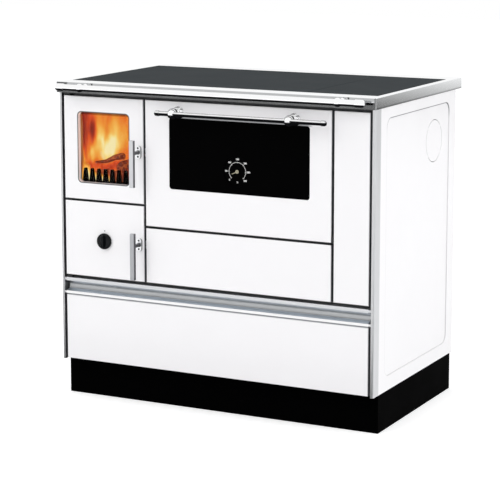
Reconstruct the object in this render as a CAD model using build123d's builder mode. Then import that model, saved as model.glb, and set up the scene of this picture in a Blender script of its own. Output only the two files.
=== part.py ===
from build123d import *
import os

# Free-standing wood cookstove: firebox and ash door on the left, oven in the middle,
# wood drawer below, two hob plates in a steel frame on top.
# X runs to the right as seen from the front, Y to the back, Z up. The origin is on the floor,
# in the middle of the whole stove. Below, "depth" is measured back from the door faces.

os.makedirs("parts", exist_ok=True)

# ---------------------------------------------------------------- driving dimensions, mm
width = 900.0
height = 836.0
frame_height = 28.0
frame_front = -8.0
frame_back = 569.0
rail_front = -46.0
front_y = -(rail_front + frame_back) / 2

body_half = 447.0
body_front = 33.0
body_back = 533.0
body_bottom = 98.0
body_top = height - frame_height
sheet = 2.0

profile_inner = 439.0
corner_radius = 5.5
door_half = 432.0
left_x = (-door_half, -196.0)
centre_x = (-189.0, 331.0)
right_x = (338.5, door_half)
fronts_z = (327.5, 800.0)
firebox_door_z = (531.0, 800.0)
ash_door_z = (327.5, 525.0)
oven_door_z = (475.4, 800.0)
cover_z = (327.5, 469.0)
drawer_z = (101.5, 272.0)
grip_z = (272.0, 319.0)
door_depth = 20.0
seal_back = 25.5
face_depth = (26.0, 29.0)
edge_radius = 2.0

window_x = (-390.0, -238.0)
window_z = (576.0, 759.0)
window_radius = 10.0
window_rebate = 12.0
glass_x = (-119.5, 273.5)
glass_z = (576.0, 758.5)

latch_x = -209.0
firebox_latch_z = 664.5
ash_latch_z = 424.7
shaft_radius = 5.0
running_gap = 0.05
lever_depth = (-39.0, -29.0)
lever_width = 12.5
lever_up = 34.0
lever_down = 87.0

left_hinge_x = -423.0
hinge_depth = 9.0
oven_hinge_z = 483.0
pin_radius = 3.0

knob_x = -313.0
knob_z = 425.0
dial_x = 73.0
dial_z = 633.0
dial_radius = 40.0

firebox_x = (-436.0, -204.0)
oven_x = (-154.0, 296.0)
oven_z = (490.0, 766.0)
oven_back = 470.0

hob_x = (-433.0, 433.0)
hob_depth = (43.5, 499.0)
plate_split_x = 239.0
plate_thickness = 8.0
plate_top = height - 0.8
ledge_top = plate_top - plate_thickness - 0.3

rail_radius = 8.0
rail_cap_radius = 9.5
rail_cap_length = 25.0
rail_depth = rail_front + rail_cap_radius
rail_z = 825.0
rail_half = 433.0
rail_post_x = 362.0

handle_radius = 6.0
handle_cap_radius = 7.0
handle_cap_length = 14.0
handle_depth = -38.5
handle_z = 773.0
handle_x = (-139.0, 335.0)
handle_post_x = (-91.0, 233.0)

rail_ball_radius = 11.0
handle_ball_radius = 14.0
post_neck_radius = 6.0
post_flare = (9.0, 6.0)
rosette_radius = 16.0
rosette_thickness = 3.0

flue_x = 330.0
flue_z = 688.0
flue_radius = 60.5
collar_radius = flue_radius + 3.0
knockout_depth = 386.0
knockout_radius = 54.5


# ---------------------------------------------------------------- planes and small helpers
def front(depth):
    """Upright plane facing the user: X to the right, Z up."""
    return Plane(origin=(0, front_y + depth, 0), x_dir=(1, 0, 0), z_dir=(0, -1, 0))


def side(x):
    """Upright plane facing right: depth to the back, Z up."""
    return Plane(origin=(x, front_y, 0), x_dir=(0, 1, 0), z_dir=(1, 0, 0))


def level(z):
    """Flat plane facing up: X to the right, depth to the back."""
    return Plane(origin=(0, front_y, z), x_dir=(1, 0, 0), z_dir=(0, 0, 1))


def grow(limits, amount):
    """Limits moved outwards by an amount, or inwards if it is negative."""
    return (limits[0] - amount, limits[1] + amount)


def area(across, up, radius=0.0, mode=Mode.ADD):
    """Rectangle between two pairs of limits, in the sketch that is open."""
    centre = (sum(across) / 2, sum(up) / 2)
    size = (across[1] - across[0], up[1] - up[0])
    with Locations(centre):
        if radius:
            RectangleRounded(*size, radius, mode=mode)
        else:
            Rectangle(*size, mode=mode)


def block(x, depth, z, mode=Mode.ADD):
    """Box between limits in x, depth and z."""
    centre = (sum(x) / 2, front_y + sum(depth) / 2, sum(z) / 2)
    with Locations(centre):
        Box(x[1] - x[0], depth[1] - depth[0], z[1] - z[0], mode=mode)


def upright(x, z, depth, radius=0.0, mode=Mode.ADD):
    """Upright plate facing the user, with rounded corners."""
    with BuildSketch(front(depth[1])) as outline:
        area(x, z, radius)
    extrude(outline.sketch, amount=depth[1] - depth[0], mode=mode)


def upright_ring(outer_x, outer_z, inner_x, inner_z, depth, radii=(0.0, 0.0)):
    """Upright frame facing the user."""
    with BuildSketch(front(depth[1])) as outline:
        area(outer_x, outer_z, radii[0])
        area(inner_x, inner_z, radii[1], mode=Mode.SUBTRACT)
    extrude(outline.sketch, amount=depth[1] - depth[0])


def level_ring(outer_x, outer_depth, inner_x, inner_depth, z, radii=(0.0, 0.0)):
    """Flat frame."""
    with BuildSketch(level(z[0])) as outline:
        area(outer_x, outer_depth, radii[0])
        area(inner_x, inner_depth, radii[1], mode=Mode.SUBTRACT)
    extrude(outline.sketch, amount=z[1] - z[0])


def rod_to_front(x, z, radius, depth, mode=Mode.ADD):
    """Round rod or hole along Y."""
    with BuildSketch(front(depth[1])) as circle:
        with Locations((x, z)):
            Circle(radius)
    extrude(circle.sketch, amount=depth[1] - depth[0], mode=mode)


def rod_across(depth, z, radius, x, mode=Mode.ADD):
    """Round rod or hole along X."""
    with BuildSketch(side(x[0])) as circle:
        with Locations((depth, z)):
            Circle(radius)
    extrude(circle.sketch, amount=x[1] - x[0], mode=mode)


def rod_up(x, depth, radius, z, mode=Mode.ADD):
    """Round rod or hole along Z."""
    with BuildSketch(level(z[0])) as circle:
        with Locations((x, depth)):
            Circle(radius)
    extrude(circle.sketch, amount=z[1] - z[0], mode=mode)


def folded_front(x, z, depth=door_depth):
    """Front folded from sheet: a face with its four edges turned back."""
    block(x, (0, depth), z)
    fillet(edges().group_by(Axis.Y)[0], edge_radius)
    block(grow(x, -sheet), (sheet, depth), grow(z, -sheet), mode=Mode.SUBTRACT)


def open_box(x, depth, z, wall, open_side):
    """Sheet box with one open side, "front" or "top"."""
    block(x, depth, z)
    inner_depth = (depth[0], depth[1] - wall) if open_side == "front" else grow(depth, -wall)
    inner_z = (z[0] + wall, z[1]) if open_side == "top" else grow(z, -wall)
    block(grow(x, -wall), inner_depth, inner_z, mode=Mode.SUBTRACT)


def write(piece, name):
    """Labels a finished piece and writes its file."""
    piece.part.label = name
    export_step(piece.part, f"parts/{name}.step")


# ---------------------------------------------------------------- plinth, feet and base
plinth_x = (-446.0, 446.0)
plinth_depth = (35.0, 522.0)
plinth_bottom_flange = 15.0
plinth_top_flange = 18.0
foot_x = 400.0
foot_depths = (80.0, 477.0)
foot_disc_radius = 20.0
foot_disc_height = 8.0
foot_stem_radius = 6.0
foot_nut_radius = 11.0
foot_nut_z = (30.0, 38.0)

with BuildPart() as plinth:
    wall_x = grow(plinth_x, -sheet)
    wall_depth = grow(plinth_depth, -sheet)
    level_ring(plinth_x, plinth_depth, wall_x, wall_depth, (0, body_bottom))
    for flange, flange_z in (
        (plinth_bottom_flange, (0, sheet)),
        (plinth_top_flange, (body_bottom - sheet, body_bottom)),
    ):
        level_ring(wall_x, wall_depth, grow(wall_x, -flange), grow(wall_depth, -flange), flange_z)
write(plinth, "plinth")

with BuildPart() as levelling_feet:
    for x in (-foot_x, foot_x):
        for depth in foot_depths:
            rod_up(x, depth, foot_disc_radius, (0, foot_disc_height))
            rod_up(x, depth, foot_stem_radius, (foot_disc_height, body_bottom))
            rod_up(x, depth, foot_nut_radius, foot_nut_z)
write(levelling_feet, "levelling_feet")

base_top = body_bottom + 3.0
panel_inner = body_half - sheet
inner_back = body_back - 2 * sheet
with BuildPart() as base_plate:
    base_depth = (face_depth[1] + 1, inner_back)
    block((-panel_inner, panel_inner), base_depth, (body_bottom, base_top))
write(base_plate, "base_plate")


# ---------------------------------------------------------------- outer casing
emboss_depth_span = (70.0, 488.0)
emboss_z = (135.0, 779.0)
emboss_radius = 25.0
knockout_slot = 1.6
knockout_bridge = 6.0
knockout_bridge_angle = 40.0
back_panel_depth = (inner_back, body_back - sheet)
flange_width = 15.0
back_screw_x = 437.5
back_screw_z = (140.0, 300.0, 460.0, 620.0, 780.0)
screw_radius = 2.2
screw_hole_radius = 2.6
screw_head_radius = 4.5


def side_panel(sign, knockout):
    """Side panel with a field pressed in by one sheet, and flanges at the top and back."""
    outside = sign * body_half
    inside = sign * panel_inner
    flange_x = sorted((inside, inside - sign * flange_width))
    with BuildPart() as panel:
        with BuildSketch(side(inside)):
            area((body_front, body_back), (body_bottom, body_top))
        extrude(amount=sign * sheet)
        with BuildSketch(side(outside)):
            area(emboss_depth_span, emboss_z, emboss_radius)
        extrude(amount=-sign * sheet, mode=Mode.SUBTRACT)
        with BuildSketch(side(inside)):
            area(grow(emboss_depth_span, sheet), grow(emboss_z, sheet), emboss_radius + sheet)
        extrude(amount=-sign * sheet)
        block(flange_x, (body_back - sheet, body_back), (base_top, body_top))
        block(flange_x, (body_front, body_back), (body_top - sheet, body_top))
        for z in back_screw_z:
            flange_depth = (body_back - sheet, body_back)
            rod_to_front(sign * back_screw_x, z, screw_hole_radius, flange_depth, Mode.SUBTRACT)
        if knockout:
            with BuildSketch(side(inside)):
                with Locations((knockout_depth, flue_z)):
                    Circle(knockout_radius + knockout_slot / 2)
                    Circle(knockout_radius - knockout_slot / 2, mode=Mode.SUBTRACT)
                    for turn in (-knockout_bridge_angle, knockout_bridge_angle):
                        Rectangle(3 * knockout_radius, knockout_bridge, rotation=turn, mode=Mode.SUBTRACT)
            extrude(amount=-sign * sheet, mode=Mode.SUBTRACT)
    return panel


write(side_panel(-1, knockout=False), "side_panel_left")
write(side_panel(1, knockout=True), "side_panel_right")


def corner_profile(sign):
    """Aluminium edge profile: a narrow front face, a rounded corner and a wide side face."""
    with BuildPart() as profile:
        with BuildSketch(level(body_bottom)):
            area(sorted((sign * profile_inner, sign * body_half)), (0, body_front))
            outer_corner = vertices().group_by(Axis.Y)[0].sort_by(Axis.X)[-1 if sign > 0 else 0]
            fillet(outer_corner, corner_radius)
            leg_x = sorted((sign * profile_inner, sign * (profile_inner + sheet)))
            hollow_x = sorted((sign * (profile_inner + sheet), sign * panel_inner))
            area(leg_x, (face_depth[0], body_front), mode=Mode.SUBTRACT)
            area(hollow_x, (2 * sheet, body_front), mode=Mode.SUBTRACT)
        extrude(amount=body_top - body_bottom)
    return profile


write(corner_profile(-1), "corner_profile_left")
write(corner_profile(1), "corner_profile_right")

vent_centre = (0.0, 200.0)
vent_slot = (50.0, 7.0)
vent_pitch = (70.0, 22.0)

with BuildPart() as back_panel:
    block(grow((-panel_inner, panel_inner), -0.2), back_panel_depth, (base_top, body_top - sheet))
    rod_to_front(flue_x, flue_z, collar_radius + 1, back_panel_depth, Mode.SUBTRACT)
    for x in (-back_screw_x, back_screw_x):
        for z in back_screw_z:
            rod_to_front(x, z, screw_hole_radius, back_panel_depth, Mode.SUBTRACT)
    with BuildSketch(front(back_panel_depth[1])):
        with Locations(vent_centre):
            with GridLocations(*vent_pitch, 8, 3):
                SlotOverall(*vent_slot)
    extrude(amount=sheet, mode=Mode.SUBTRACT)
write(back_panel, "back_panel")

with BuildPart() as back_panel_screws:
    for x in (-back_screw_x, back_screw_x):
        for z in back_screw_z:
            rod_to_front(x, z, screw_radius, (inner_back - 3, body_back))
            rod_to_front(x, z, screw_head_radius, (body_back, body_back + 2.5))
write(back_panel_screws, "back_panel_screws")


# ---------------------------------------------------------------- face frame behind the doors
frame_openings = {
    "drawer": ((-430, 430), (106, 316)),
    "firebox": ((-408, -220), (553, 778)),
    "ash": ((-408, -220), (349, 503)),
    "oven": ((oven_x[0] + sheet, oven_x[1] - sheet), (oven_z[0] + sheet, oven_z[1] - sheet)),
    "cleaning": ((-150, 292), (349, 451)),
}

with BuildPart() as face_frame:
    with BuildSketch(front(face_depth[1])):
        area((-profile_inner, profile_inner), (base_top, body_top))
        for opening_x, opening_z in frame_openings.values():
            area(opening_x, opening_z, mode=Mode.SUBTRACT)
    extrude(amount=face_depth[1] - face_depth[0])
write(face_frame, "face_frame")

with BuildPart() as drawer_ceiling:
    ceiling_half = panel_inner - sheet
    ceiling_z = (grip_z[1] + 1, grip_z[1] + 4)
    block((-ceiling_half, ceiling_half), (face_depth[1] + 0.5, inner_back), ceiling_z)
write(drawer_ceiling, "drawer_ceiling")

with BuildPart() as side_filler:
    folded_front(right_x, fronts_z, depth=face_depth[0])
write(side_filler, "side_filler")


# ---------------------------------------------------------------- firebox and ash compartment
firebox_wall = 4.0
firebox_depth = (face_depth[1], 470.0)
firebox_z = (541.0, fronts_z[1])
firebox_inner_x = grow(firebox_x, -firebox_wall)
firebox_inner_back = firebox_depth[1] - firebox_wall
hearth_z = firebox_z[0] + firebox_wall
brick_thickness = 24.0
brick_top = 762.0
brick_length = 198.0
brick_joint = 1.0
grate_x = (-388.0, -240.0)
grate_depth = (60.0, 420.0)
grate_top = hearth_z + 12.0
grate_rim = 12.0
grate_rib = 15.0
grate_slot = 13.0
grate_slots = 12

with BuildPart() as firebox_shell:
    block(firebox_x, firebox_depth, firebox_z)
    hollow_depth = (firebox_depth[0], firebox_inner_back)
    block(firebox_inner_x, hollow_depth, (hearth_z, firebox_z[1]), mode=Mode.SUBTRACT)
    ash_fall_z = (firebox_z[0], hearth_z)
    block(grow(grate_x, -8), grow(grate_depth, -15), ash_fall_z, mode=Mode.SUBTRACT)
write(firebox_shell, "firebox_shell")

with BuildPart() as firebricks:
    brick_z = (hearth_z, brick_top)
    back_brick = firebox_inner_back - brick_thickness - brick_joint
    for left in (firebox_inner_x[0], firebox_inner_x[1] - brick_thickness):
        for row in range(2):
            near = back_brick - (row + 1) * (brick_length + brick_joint)
            block((left, left + brick_thickness), (near, near + brick_length), brick_z)
    block(firebox_inner_x, (back_brick, firebox_inner_back), brick_z)
write(firebricks, "firebricks")

with BuildPart() as grate:
    block(grate_x, grate_depth, (hearth_z, grate_top))
    middle = sum(grate_x) / 2
    for row in range(grate_slots):
        near = grate_depth[0] + grate_rib + row * (grate_slot + grate_rib)
        for slot_x in ((grate_x[0] + grate_rim, middle - 5), (middle + 5, grate_x[1] - grate_rim)):
            block(slot_x, (near, near + grate_slot), (hearth_z, grate_top), mode=Mode.SUBTRACT)
write(grate, "grate")

tooth_count = 8
tooth_pitch = 20.25
tooth_first_x = -389.3
tooth_root = 17.0
tooth_slope = 82.0
tooth_tip_radius = 3.0
tooth_z = (574.0, 608.5)
fender_x = (-398.0, -234.0)
fender_depth = (31.0, 37.0)

with BuildPart() as log_fender:
    with BuildSketch(front(fender_depth[1])):
        area(fender_x, (hearth_z, tooth_z[0]))
        for tooth in range(tooth_count):
            with Locations((tooth_first_x + tooth * tooth_pitch, sum(tooth_z) / 2)):
                Trapezoid(tooth_root, tooth_z[1] - tooth_z[0], tooth_slope)
        fillet(vertices().group_by(Axis.Y)[-1], tooth_tip_radius)
    extrude(amount=fender_depth[1] - fender_depth[0])
write(log_fender, "log_fender")

log_depth = (52.0, 330.0)
log_radius = 22.0
log_x = (-374.0, -322.0, -264.0)
upper_log_radius = 20.0
upper_log_place = (-293.0, 610.5)
branch_radius = 10.0
branch_start = (-384.0, 66.0, 608.0)
branch_run = (0.94, 0.0, 0.342)
branch_length = 102.0

with BuildPart() as firewood_logs:
    log_places = [(x, grate_top + log_radius, log_radius) for x in log_x]
    log_places.append((*upper_log_place, upper_log_radius))
    for x, z, radius in log_places:
        with BuildSketch(front(log_depth[1])) as end_grain:
            with Locations((x, z)):
                RegularPolygon(radius, 9)
        extrude(end_grain.sketch, amount=log_depth[1] - log_depth[0])
    start_x, start_depth, start_z = branch_start
    with BuildSketch(Plane(origin=(start_x, front_y + start_depth, start_z), z_dir=branch_run)) as cut:
        RegularPolygon(branch_radius, 7)
    extrude(cut.sketch, amount=branch_length)
write(firewood_logs, "firewood_logs")

ash_box_wall = 3.0
ash_box_z = (330.0, firebox_z[0])
pan_x = (-405.0, -223.0)
pan_depth = (44.0, 450.0)
pan_z = (333.0, 412.0)
pan_grip_x = (-344.0, -284.0)
pan_grip_z = (384.0, 396.0)

with BuildPart() as ash_box:
    block(firebox_x, firebox_depth, ash_box_z)
    hollow_depth = (firebox_depth[0], firebox_depth[1] - ash_box_wall)
    hollow_z = (ash_box_z[0] + ash_box_wall, ash_box_z[1])
    block(grow(firebox_x, -ash_box_wall), hollow_depth, hollow_z, mode=Mode.SUBTRACT)
write(ash_box, "ash_box")

with BuildPart() as ash_pan:
    open_box(pan_x, pan_depth, pan_z, sheet, "top")
    block(pan_grip_x, (pan_depth[0] - 12, pan_depth[0]), (pan_grip_z[1] - 4, pan_grip_z[1]))
    block(pan_grip_x, (pan_depth[0] - 14, pan_depth[0] - 11), pan_grip_z)
write(ash_pan, "ash_pan")


# ---------------------------------------------------------------- oven, smoke way and flue
rib_heights = (540.0, 594.0, 648.0)
rib_thickness = 3.0
rib_reach = 12.0
rib_depth = (35.0, 460.0)
rack_z = rib_heights[1] + rib_thickness + 3.0
rack_x = (-146.0, 288.0)
rack_depth = (40.0, 460.0)
rack_rim_radius = 3.0
rack_wire_radius = 1.8
rack_wires = 13
tray_x = (-125.0, 267.0)
tray_depth = (52.0, 448.0)
tray_height = 32.0

with BuildPart() as oven_box:
    open_box(oven_x, (face_depth[1], oven_back), oven_z, sheet, "front")
    for rib_z in rib_heights:
        for rib_x in (
            (oven_x[0] + sheet, oven_x[0] + rib_reach),
            (oven_x[1] - rib_reach, oven_x[1] - sheet),
        ):
            block(rib_x, rib_depth, (rib_z, rib_z + rib_thickness))
write(oven_box, "oven_box")

with BuildPart() as oven_rack:
    for depth in rack_depth:
        rod_across(depth, rack_z, rack_rim_radius, rack_x)
    for x in grow(rack_x, -rack_rim_radius):
        rod_to_front(x, rack_z, rack_rim_radius, rack_depth)
    for wire in range(rack_wires):
        wire_x = rack_x[0] + (wire + 1) * (rack_x[1] - rack_x[0]) / (rack_wires + 1)
        rod_to_front(wire_x, rack_z, rack_wire_radius, rack_depth)
write(oven_rack, "oven_rack")

with BuildPart() as baking_tray:
    tray_bottom = rack_z + rack_rim_radius
    open_box(tray_x, tray_depth, (tray_bottom, tray_bottom + tray_height), 1.5, "top")
write(baking_tray, "baking_tray")

smoke_x = (250.0, 410.0)
smoke_depth = (474.0, inner_back)
smoke_z = (590.0, fronts_z[1])
collar_depth = (smoke_depth[1] - sheet, frame_back)
collar_flange_radius = 82.0
collar_flange_depth = (back_panel_depth[1], back_panel_depth[1] + 4)
collar_screw_circle = 73.0

with BuildPart() as smoke_box:
    open_box(smoke_x, smoke_depth, smoke_z, sheet, "top")
    rod_to_front(flue_x, flue_z, collar_radius, (collar_depth[0], inner_back), Mode.SUBTRACT)
write(smoke_box, "smoke_box")

with BuildPart() as flue_collar:
    rod_to_front(flue_x, flue_z, collar_radius, collar_depth)
    rod_to_front(flue_x, flue_z, collar_flange_radius, collar_flange_depth)
    rod_to_front(flue_x, flue_z, flue_radius, collar_depth, Mode.SUBTRACT)
    with BuildSketch(front(collar_flange_depth[1] + 4)) as screw_heads:
        with Locations((flue_x, flue_z)):
            with PolarLocations(collar_screw_circle, 3, start_angle=90):
                Circle(screw_head_radius)
    extrude(screw_heads.sketch, amount=4)
write(flue_collar, "flue_collar")


# ---------------------------------------------------------------- top frame, hob plates and rail
frame_x = (-width / 2, width / 2)
frame_depth = (frame_front, frame_back)
channel_x = grow(frame_x, -sheet)
channel_depth = grow(frame_depth, -sheet)
border_thickness = 3.0
frame_corner_radius = 3.0
support_x = (-430.0, 430.0)
support_depth = (22.0, 528.0)
ledge_thickness = 3.0
ledge_reach = 12.0
ledge_x = grow(hob_x, -ledge_reach)
ledge_depth = grow(hob_depth, -ledge_reach)
crossbar_width = 20.0
crossbar_height = 15.0

with BuildPart() as top_frame:
    skirt_z = (body_top, height)
    support_z = (body_top, body_top + sheet)
    border_z = (height - border_thickness, height)
    lip_z = (ledge_top, border_z[0])
    ledge_z = (ledge_top - ledge_thickness, ledge_top)
    lip_x = grow(hob_x, sheet)
    lip_depth = grow(hob_depth, sheet)
    level_ring(frame_x, frame_depth, channel_x, channel_depth, skirt_z, (frame_corner_radius, 1))
    level_ring(channel_x, channel_depth, support_x, support_depth, support_z, (1, 0))
    level_ring(channel_x, channel_depth, hob_x, hob_depth, border_z, (1, 3))
    level_ring(lip_x, lip_depth, hob_x, hob_depth, lip_z)
    level_ring(lip_x, lip_depth, ledge_x, ledge_depth, ledge_z)
    fillet(faces().sort_by(Axis.Z)[-1].outer_wire().edges(), 1)
write(top_frame, "top_frame")

with BuildPart() as hob_crossbar:
    crossbar_x = grow((plate_split_x, plate_split_x), crossbar_width / 2)
    block(crossbar_x, ledge_depth, (ledge_top - crossbar_height, ledge_top))
write(hob_crossbar, "hob_crossbar")

plate_gap = 1.4
split_gap = 2.0
plate_bounds = {
    "hob_plate_main": (hob_x[0] + plate_gap, plate_split_x - split_gap / 2),
    "hob_plate_side": (plate_split_x + split_gap / 2, hob_x[1] - plate_gap),
}
for plate_name, plate_x in plate_bounds.items():
    with BuildPart() as hob_plate:
        with BuildSketch(level(plate_top - plate_thickness)):
            area(plate_x, grow(hob_depth, -plate_gap), 2)
        extrude(amount=plate_thickness)
        chamfer(faces().sort_by(Axis.Z)[-1].edges(), 0.5)
    write(hob_plate, plate_name)


cap_nose = 0.75


def capped_bar(depth, z, radius, x, cap_radius, cap_length):
    """Bar along X with a slightly thicker cap on each end, rounded at its nose."""
    with BuildPart() as bar:
        for cap_x in ((x[0], x[0] + cap_length), (x[1] - cap_length, x[1])):
            rod_across(depth, z, cap_radius, cap_x)
        fillet(edges().filter_by(GeomType.CIRCLE).sort_by(Axis.X)[1:3], 1.4)
        rims = edges().filter_by(GeomType.CIRCLE).sort_by(Axis.X)
        fillet([rims[0], rims[-1]], cap_radius * cap_nose)
        rod_across(depth, z, radius, grow(x, -cap_length / 2))
    return bar


def turned_post(x, z, foot_depth, ball_radius):
    """Ball on a neck that flares at its foot, turned round an axis along Y."""
    flare_radius, flare_length = post_flare
    ball_depth = rail_front + ball_radius
    neck_start = ball_depth + (ball_radius**2 - post_neck_radius**2) ** 0.5
    neck_end = foot_depth - flare_length
    with BuildSketch(Plane(origin=(x, front_y, z), x_dir=(0, 1, 0), z_dir=(1, 0, 0))) as profile:
        with BuildLine():
            ThreePointArc((rail_front, 0), (ball_depth, ball_radius), (neck_start, post_neck_radius))
            Polyline(
                (neck_start, post_neck_radius),
                (neck_end, post_neck_radius),
                (foot_depth, flare_radius),
                (foot_depth, 0),
                (rail_front, 0),
            )
        make_face()
    revolve(profile.sketch, axis=Axis((x, front_y, z), (0, 1, 0)))


def bar_posts(post_x, foot_depth, bar_depth, z, bar_radius, ball_radius, rosette):
    """Two posts that hold a bar along X, bored for it, with or without a rosette at the foot."""
    with BuildPart() as posts:
        for x in post_x:
            turned_post(x, z, foot_depth, ball_radius)
        if rosette:
            for x in post_x:
                rod_to_front(x, z, rosette_radius, (foot_depth - rosette_thickness, foot_depth))
        rod_across(bar_depth, z, bar_radius, grow(post_x, 2 * ball_radius), Mode.SUBTRACT)
    return posts


rail_x = (-rail_half, rail_half)
rail_post_places = (-rail_post_x, rail_post_x)
write(
    capped_bar(rail_depth, rail_z, rail_radius, rail_x, rail_cap_radius, rail_cap_length),
    "towel_rail",
)
write(
    bar_posts(
        rail_post_places,
        frame_front,
        rail_depth,
        rail_z,
        rail_radius,
        rail_ball_radius,
        rosette=False,
    ),
    "rail_posts",
)


# ---------------------------------------------------------------- fixed hinge and latch parts
bracket_depth = (1.0, face_depth[0])
bracket_half_width = 8.0
pin_reach = 31.0
side_bracket_x = (-194.2, -191.2)
filler_bracket_x = (333.3, 336.3)
left_bracket_z = {"top": (802.5, 805.5), "middle": (526.8, 529.2), "bottom": (321.5, 324.5)}
left_pin_z = (
    (left_bracket_z["top"][0] - pin_reach, left_bracket_z["top"][0]),
    grow(left_bracket_z["middle"], pin_reach),
    (left_bracket_z["bottom"][1], left_bracket_z["bottom"][1] + pin_reach),
)
oven_pin_x = (
    (side_bracket_x[1], side_bracket_x[1] + pin_reach),
    (filler_bracket_x[0] - pin_reach, filler_bracket_x[0]),
)

with BuildPart() as door_hinge_brackets:
    for bracket_z, pin_z in zip(left_bracket_z.values(), left_pin_z):
        bracket_x = grow((left_hinge_x, left_hinge_x), bracket_half_width)
        block(bracket_x, bracket_depth, bracket_z)
        rod_up(left_hinge_x, hinge_depth, pin_radius, pin_z)
    for bracket_x, pin_x in zip((side_bracket_x, filler_bracket_x), oven_pin_x):
        bracket_z = grow((oven_hinge_z, oven_hinge_z), bracket_half_width)
        block(bracket_x, bracket_depth, bracket_z)
        rod_across(hinge_depth, oven_hinge_z, pin_radius, pin_x)
write(door_hinge_brackets, "door_hinge_brackets")

with BuildPart() as latch_keepers:
    for z in (firebox_latch_z, ash_latch_z):
        block(side_bracket_x, (8, face_depth[0]), grow((z, z), 11))
write(latch_keepers, "latch_keepers")


# ---------------------------------------------------------------- the two left-hand doors
liner_depth = (door_depth - 4, door_depth)
lug_half_width = 6.0
lug_length = 26.0
lug_depth = (3.0, liner_depth[0])
lug_end_gap = 0.5
seal_inset = 8.0
seal_width = 9.0
plate_depth = (-4.0, 0.0)
plate_size = (16.0, 35.0)
bearing_radius = 8.0
bearing_back = 8.5
latch_screw_offset = 11.0
latch_screw_front = -4.4
screwdriver_slot = (3.6, 0.8)
tongue_depth = (9.5, 13.5)
tongue_half_height = 5.0
tongue_slot_half_height = 9.0


def left_door_panel(z, latch_z):
    """Enamelled door front with holes for its hinge pins, latch shaft and latch tongue."""
    folded_front(left_x, z)
    rod_up(left_hinge_x, hinge_depth, pin_radius + 1.5, grow(z, 1), Mode.SUBTRACT)
    rod_to_front(latch_x, latch_z, bearing_radius + 0.2, (0, sheet), Mode.SUBTRACT)
    slot_z = grow((latch_z, latch_z), tongue_slot_half_height)
    block((left_x[1] - sheet, left_x[1]), grow(tongue_depth, 1.5), slot_z, Mode.SUBTRACT)


def left_door_lugs(z):
    """Hinge lugs with running bores for the pins, at the door's top and bottom."""
    lug_x = grow((left_hinge_x, left_hinge_x), lug_half_width)
    low, high = grow(z, -sheet - lug_end_gap)
    for lug_z in ((low, low + lug_length), (high - lug_length, high)):
        block(lug_x, lug_depth, lug_z)
    rod_up(left_hinge_x, hinge_depth, pin_radius + running_gap, z, Mode.SUBTRACT)


def rope_seal(x, z):
    """Flattened rope seal round a door's back."""
    outer_x, outer_z = grow(x, -seal_inset), grow(z, -seal_inset)
    inner_x, inner_z = grow(outer_x, -seal_width), grow(outer_z, -seal_width)
    upright_ring(outer_x, outer_z, inner_x, inner_z, (door_depth, seal_back), (14, 6))


def latch_plate(latch_z):
    """Round-ended latch plate with a bearing for the shaft and two countersunk screws."""
    bearing_depth = (plate_depth[0], bearing_back)
    with BuildPart() as plate:
        with BuildSketch(front(plate_depth[1])):
            with Locations((latch_x, latch_z)):
                SlotOverall(plate_size[1], plate_size[0], rotation=90)
        extrude(amount=plate_depth[1] - plate_depth[0])
        fillet(edges().group_by(Axis.Y)[0], 1)
        rod_to_front(latch_x, latch_z, bearing_radius, (plate_depth[1], bearing_back))
        rod_to_front(latch_x, latch_z, shaft_radius + running_gap, bearing_depth, Mode.SUBTRACT)
        for screw_z in grow((latch_z, latch_z), latch_screw_offset):
            rod_to_front(latch_x, screw_z, screw_hole_radius, plate_depth, Mode.SUBTRACT)
            rod_to_front(latch_x, screw_z, screw_hole_radius - 0.1, (latch_screw_front, plate_depth[1]))
            slot_x = grow((latch_x, latch_x), screwdriver_slot[0] / 2)
            slot_z = grow((screw_z, screw_z), screwdriver_slot[1] / 2)
            block(slot_x, (latch_screw_front, latch_screw_front + 0.8), slot_z, Mode.SUBTRACT)
    return plate


def latch_lever(latch_z):
    """Flat vertical lever on a shaft, with the latch tongue on the shaft's inner end."""
    with BuildPart() as lever:
        lever_x = grow((latch_x, latch_x), lever_width / 2)
        upright(lever_x, (latch_z - lever_down, latch_z + lever_up), lever_depth)
        fillet(edges(), 1.2)
        rod_to_front(latch_x, latch_z, shaft_radius, (lever_depth[1], tongue_depth[1] + 1.5))
        with BuildSketch(front(tongue_depth[1])) as tongue:
            with Locations((latch_x, latch_z)):
                Circle(shaft_radius + 3)
            area((latch_x, left_x[1] - 0.5), grow((latch_z, latch_z), tongue_half_height))
        extrude(tongue.sketch, amount=tongue_depth[1] - tongue_depth[0])
    return lever


with BuildPart() as firebox_door_panel:
    left_door_panel(firebox_door_z, firebox_latch_z)
    upright(grow(window_x, sheet), grow(window_z, sheet), (sheet, window_rebate), window_radius + sheet)
    upright(window_x, window_z, (0, window_rebate), window_radius, Mode.SUBTRACT)
write(firebox_door_panel, "firebox_door_panel")

with BuildPart() as firebox_glass:
    upright(grow(window_x, 7), grow(window_z, 7), (window_rebate, liner_depth[0]), 3)
write(firebox_glass, "firebox_glass")

liner_gap = sheet + 0.2
liner_view = 2.0
left_liner_x = grow(left_x, -liner_gap)

with BuildPart() as firebox_door_liner:
    liner_z = grow(firebox_door_z, -liner_gap)
    view_x, view_z = grow(window_x, liner_view), grow(window_z, liner_view)
    upright_ring(left_liner_x, liner_z, view_x, view_z, liner_depth, (0, window_radius))
    left_door_lugs(firebox_door_z)
write(firebox_door_liner, "firebox_door_liner")

with BuildPart() as firebox_door_seal:
    rope_seal(left_x, firebox_door_z)
write(firebox_door_seal, "firebox_door_seal")

write(latch_plate(firebox_latch_z), "firebox_latch_plate")
write(latch_lever(firebox_latch_z), "firebox_handle")

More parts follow.
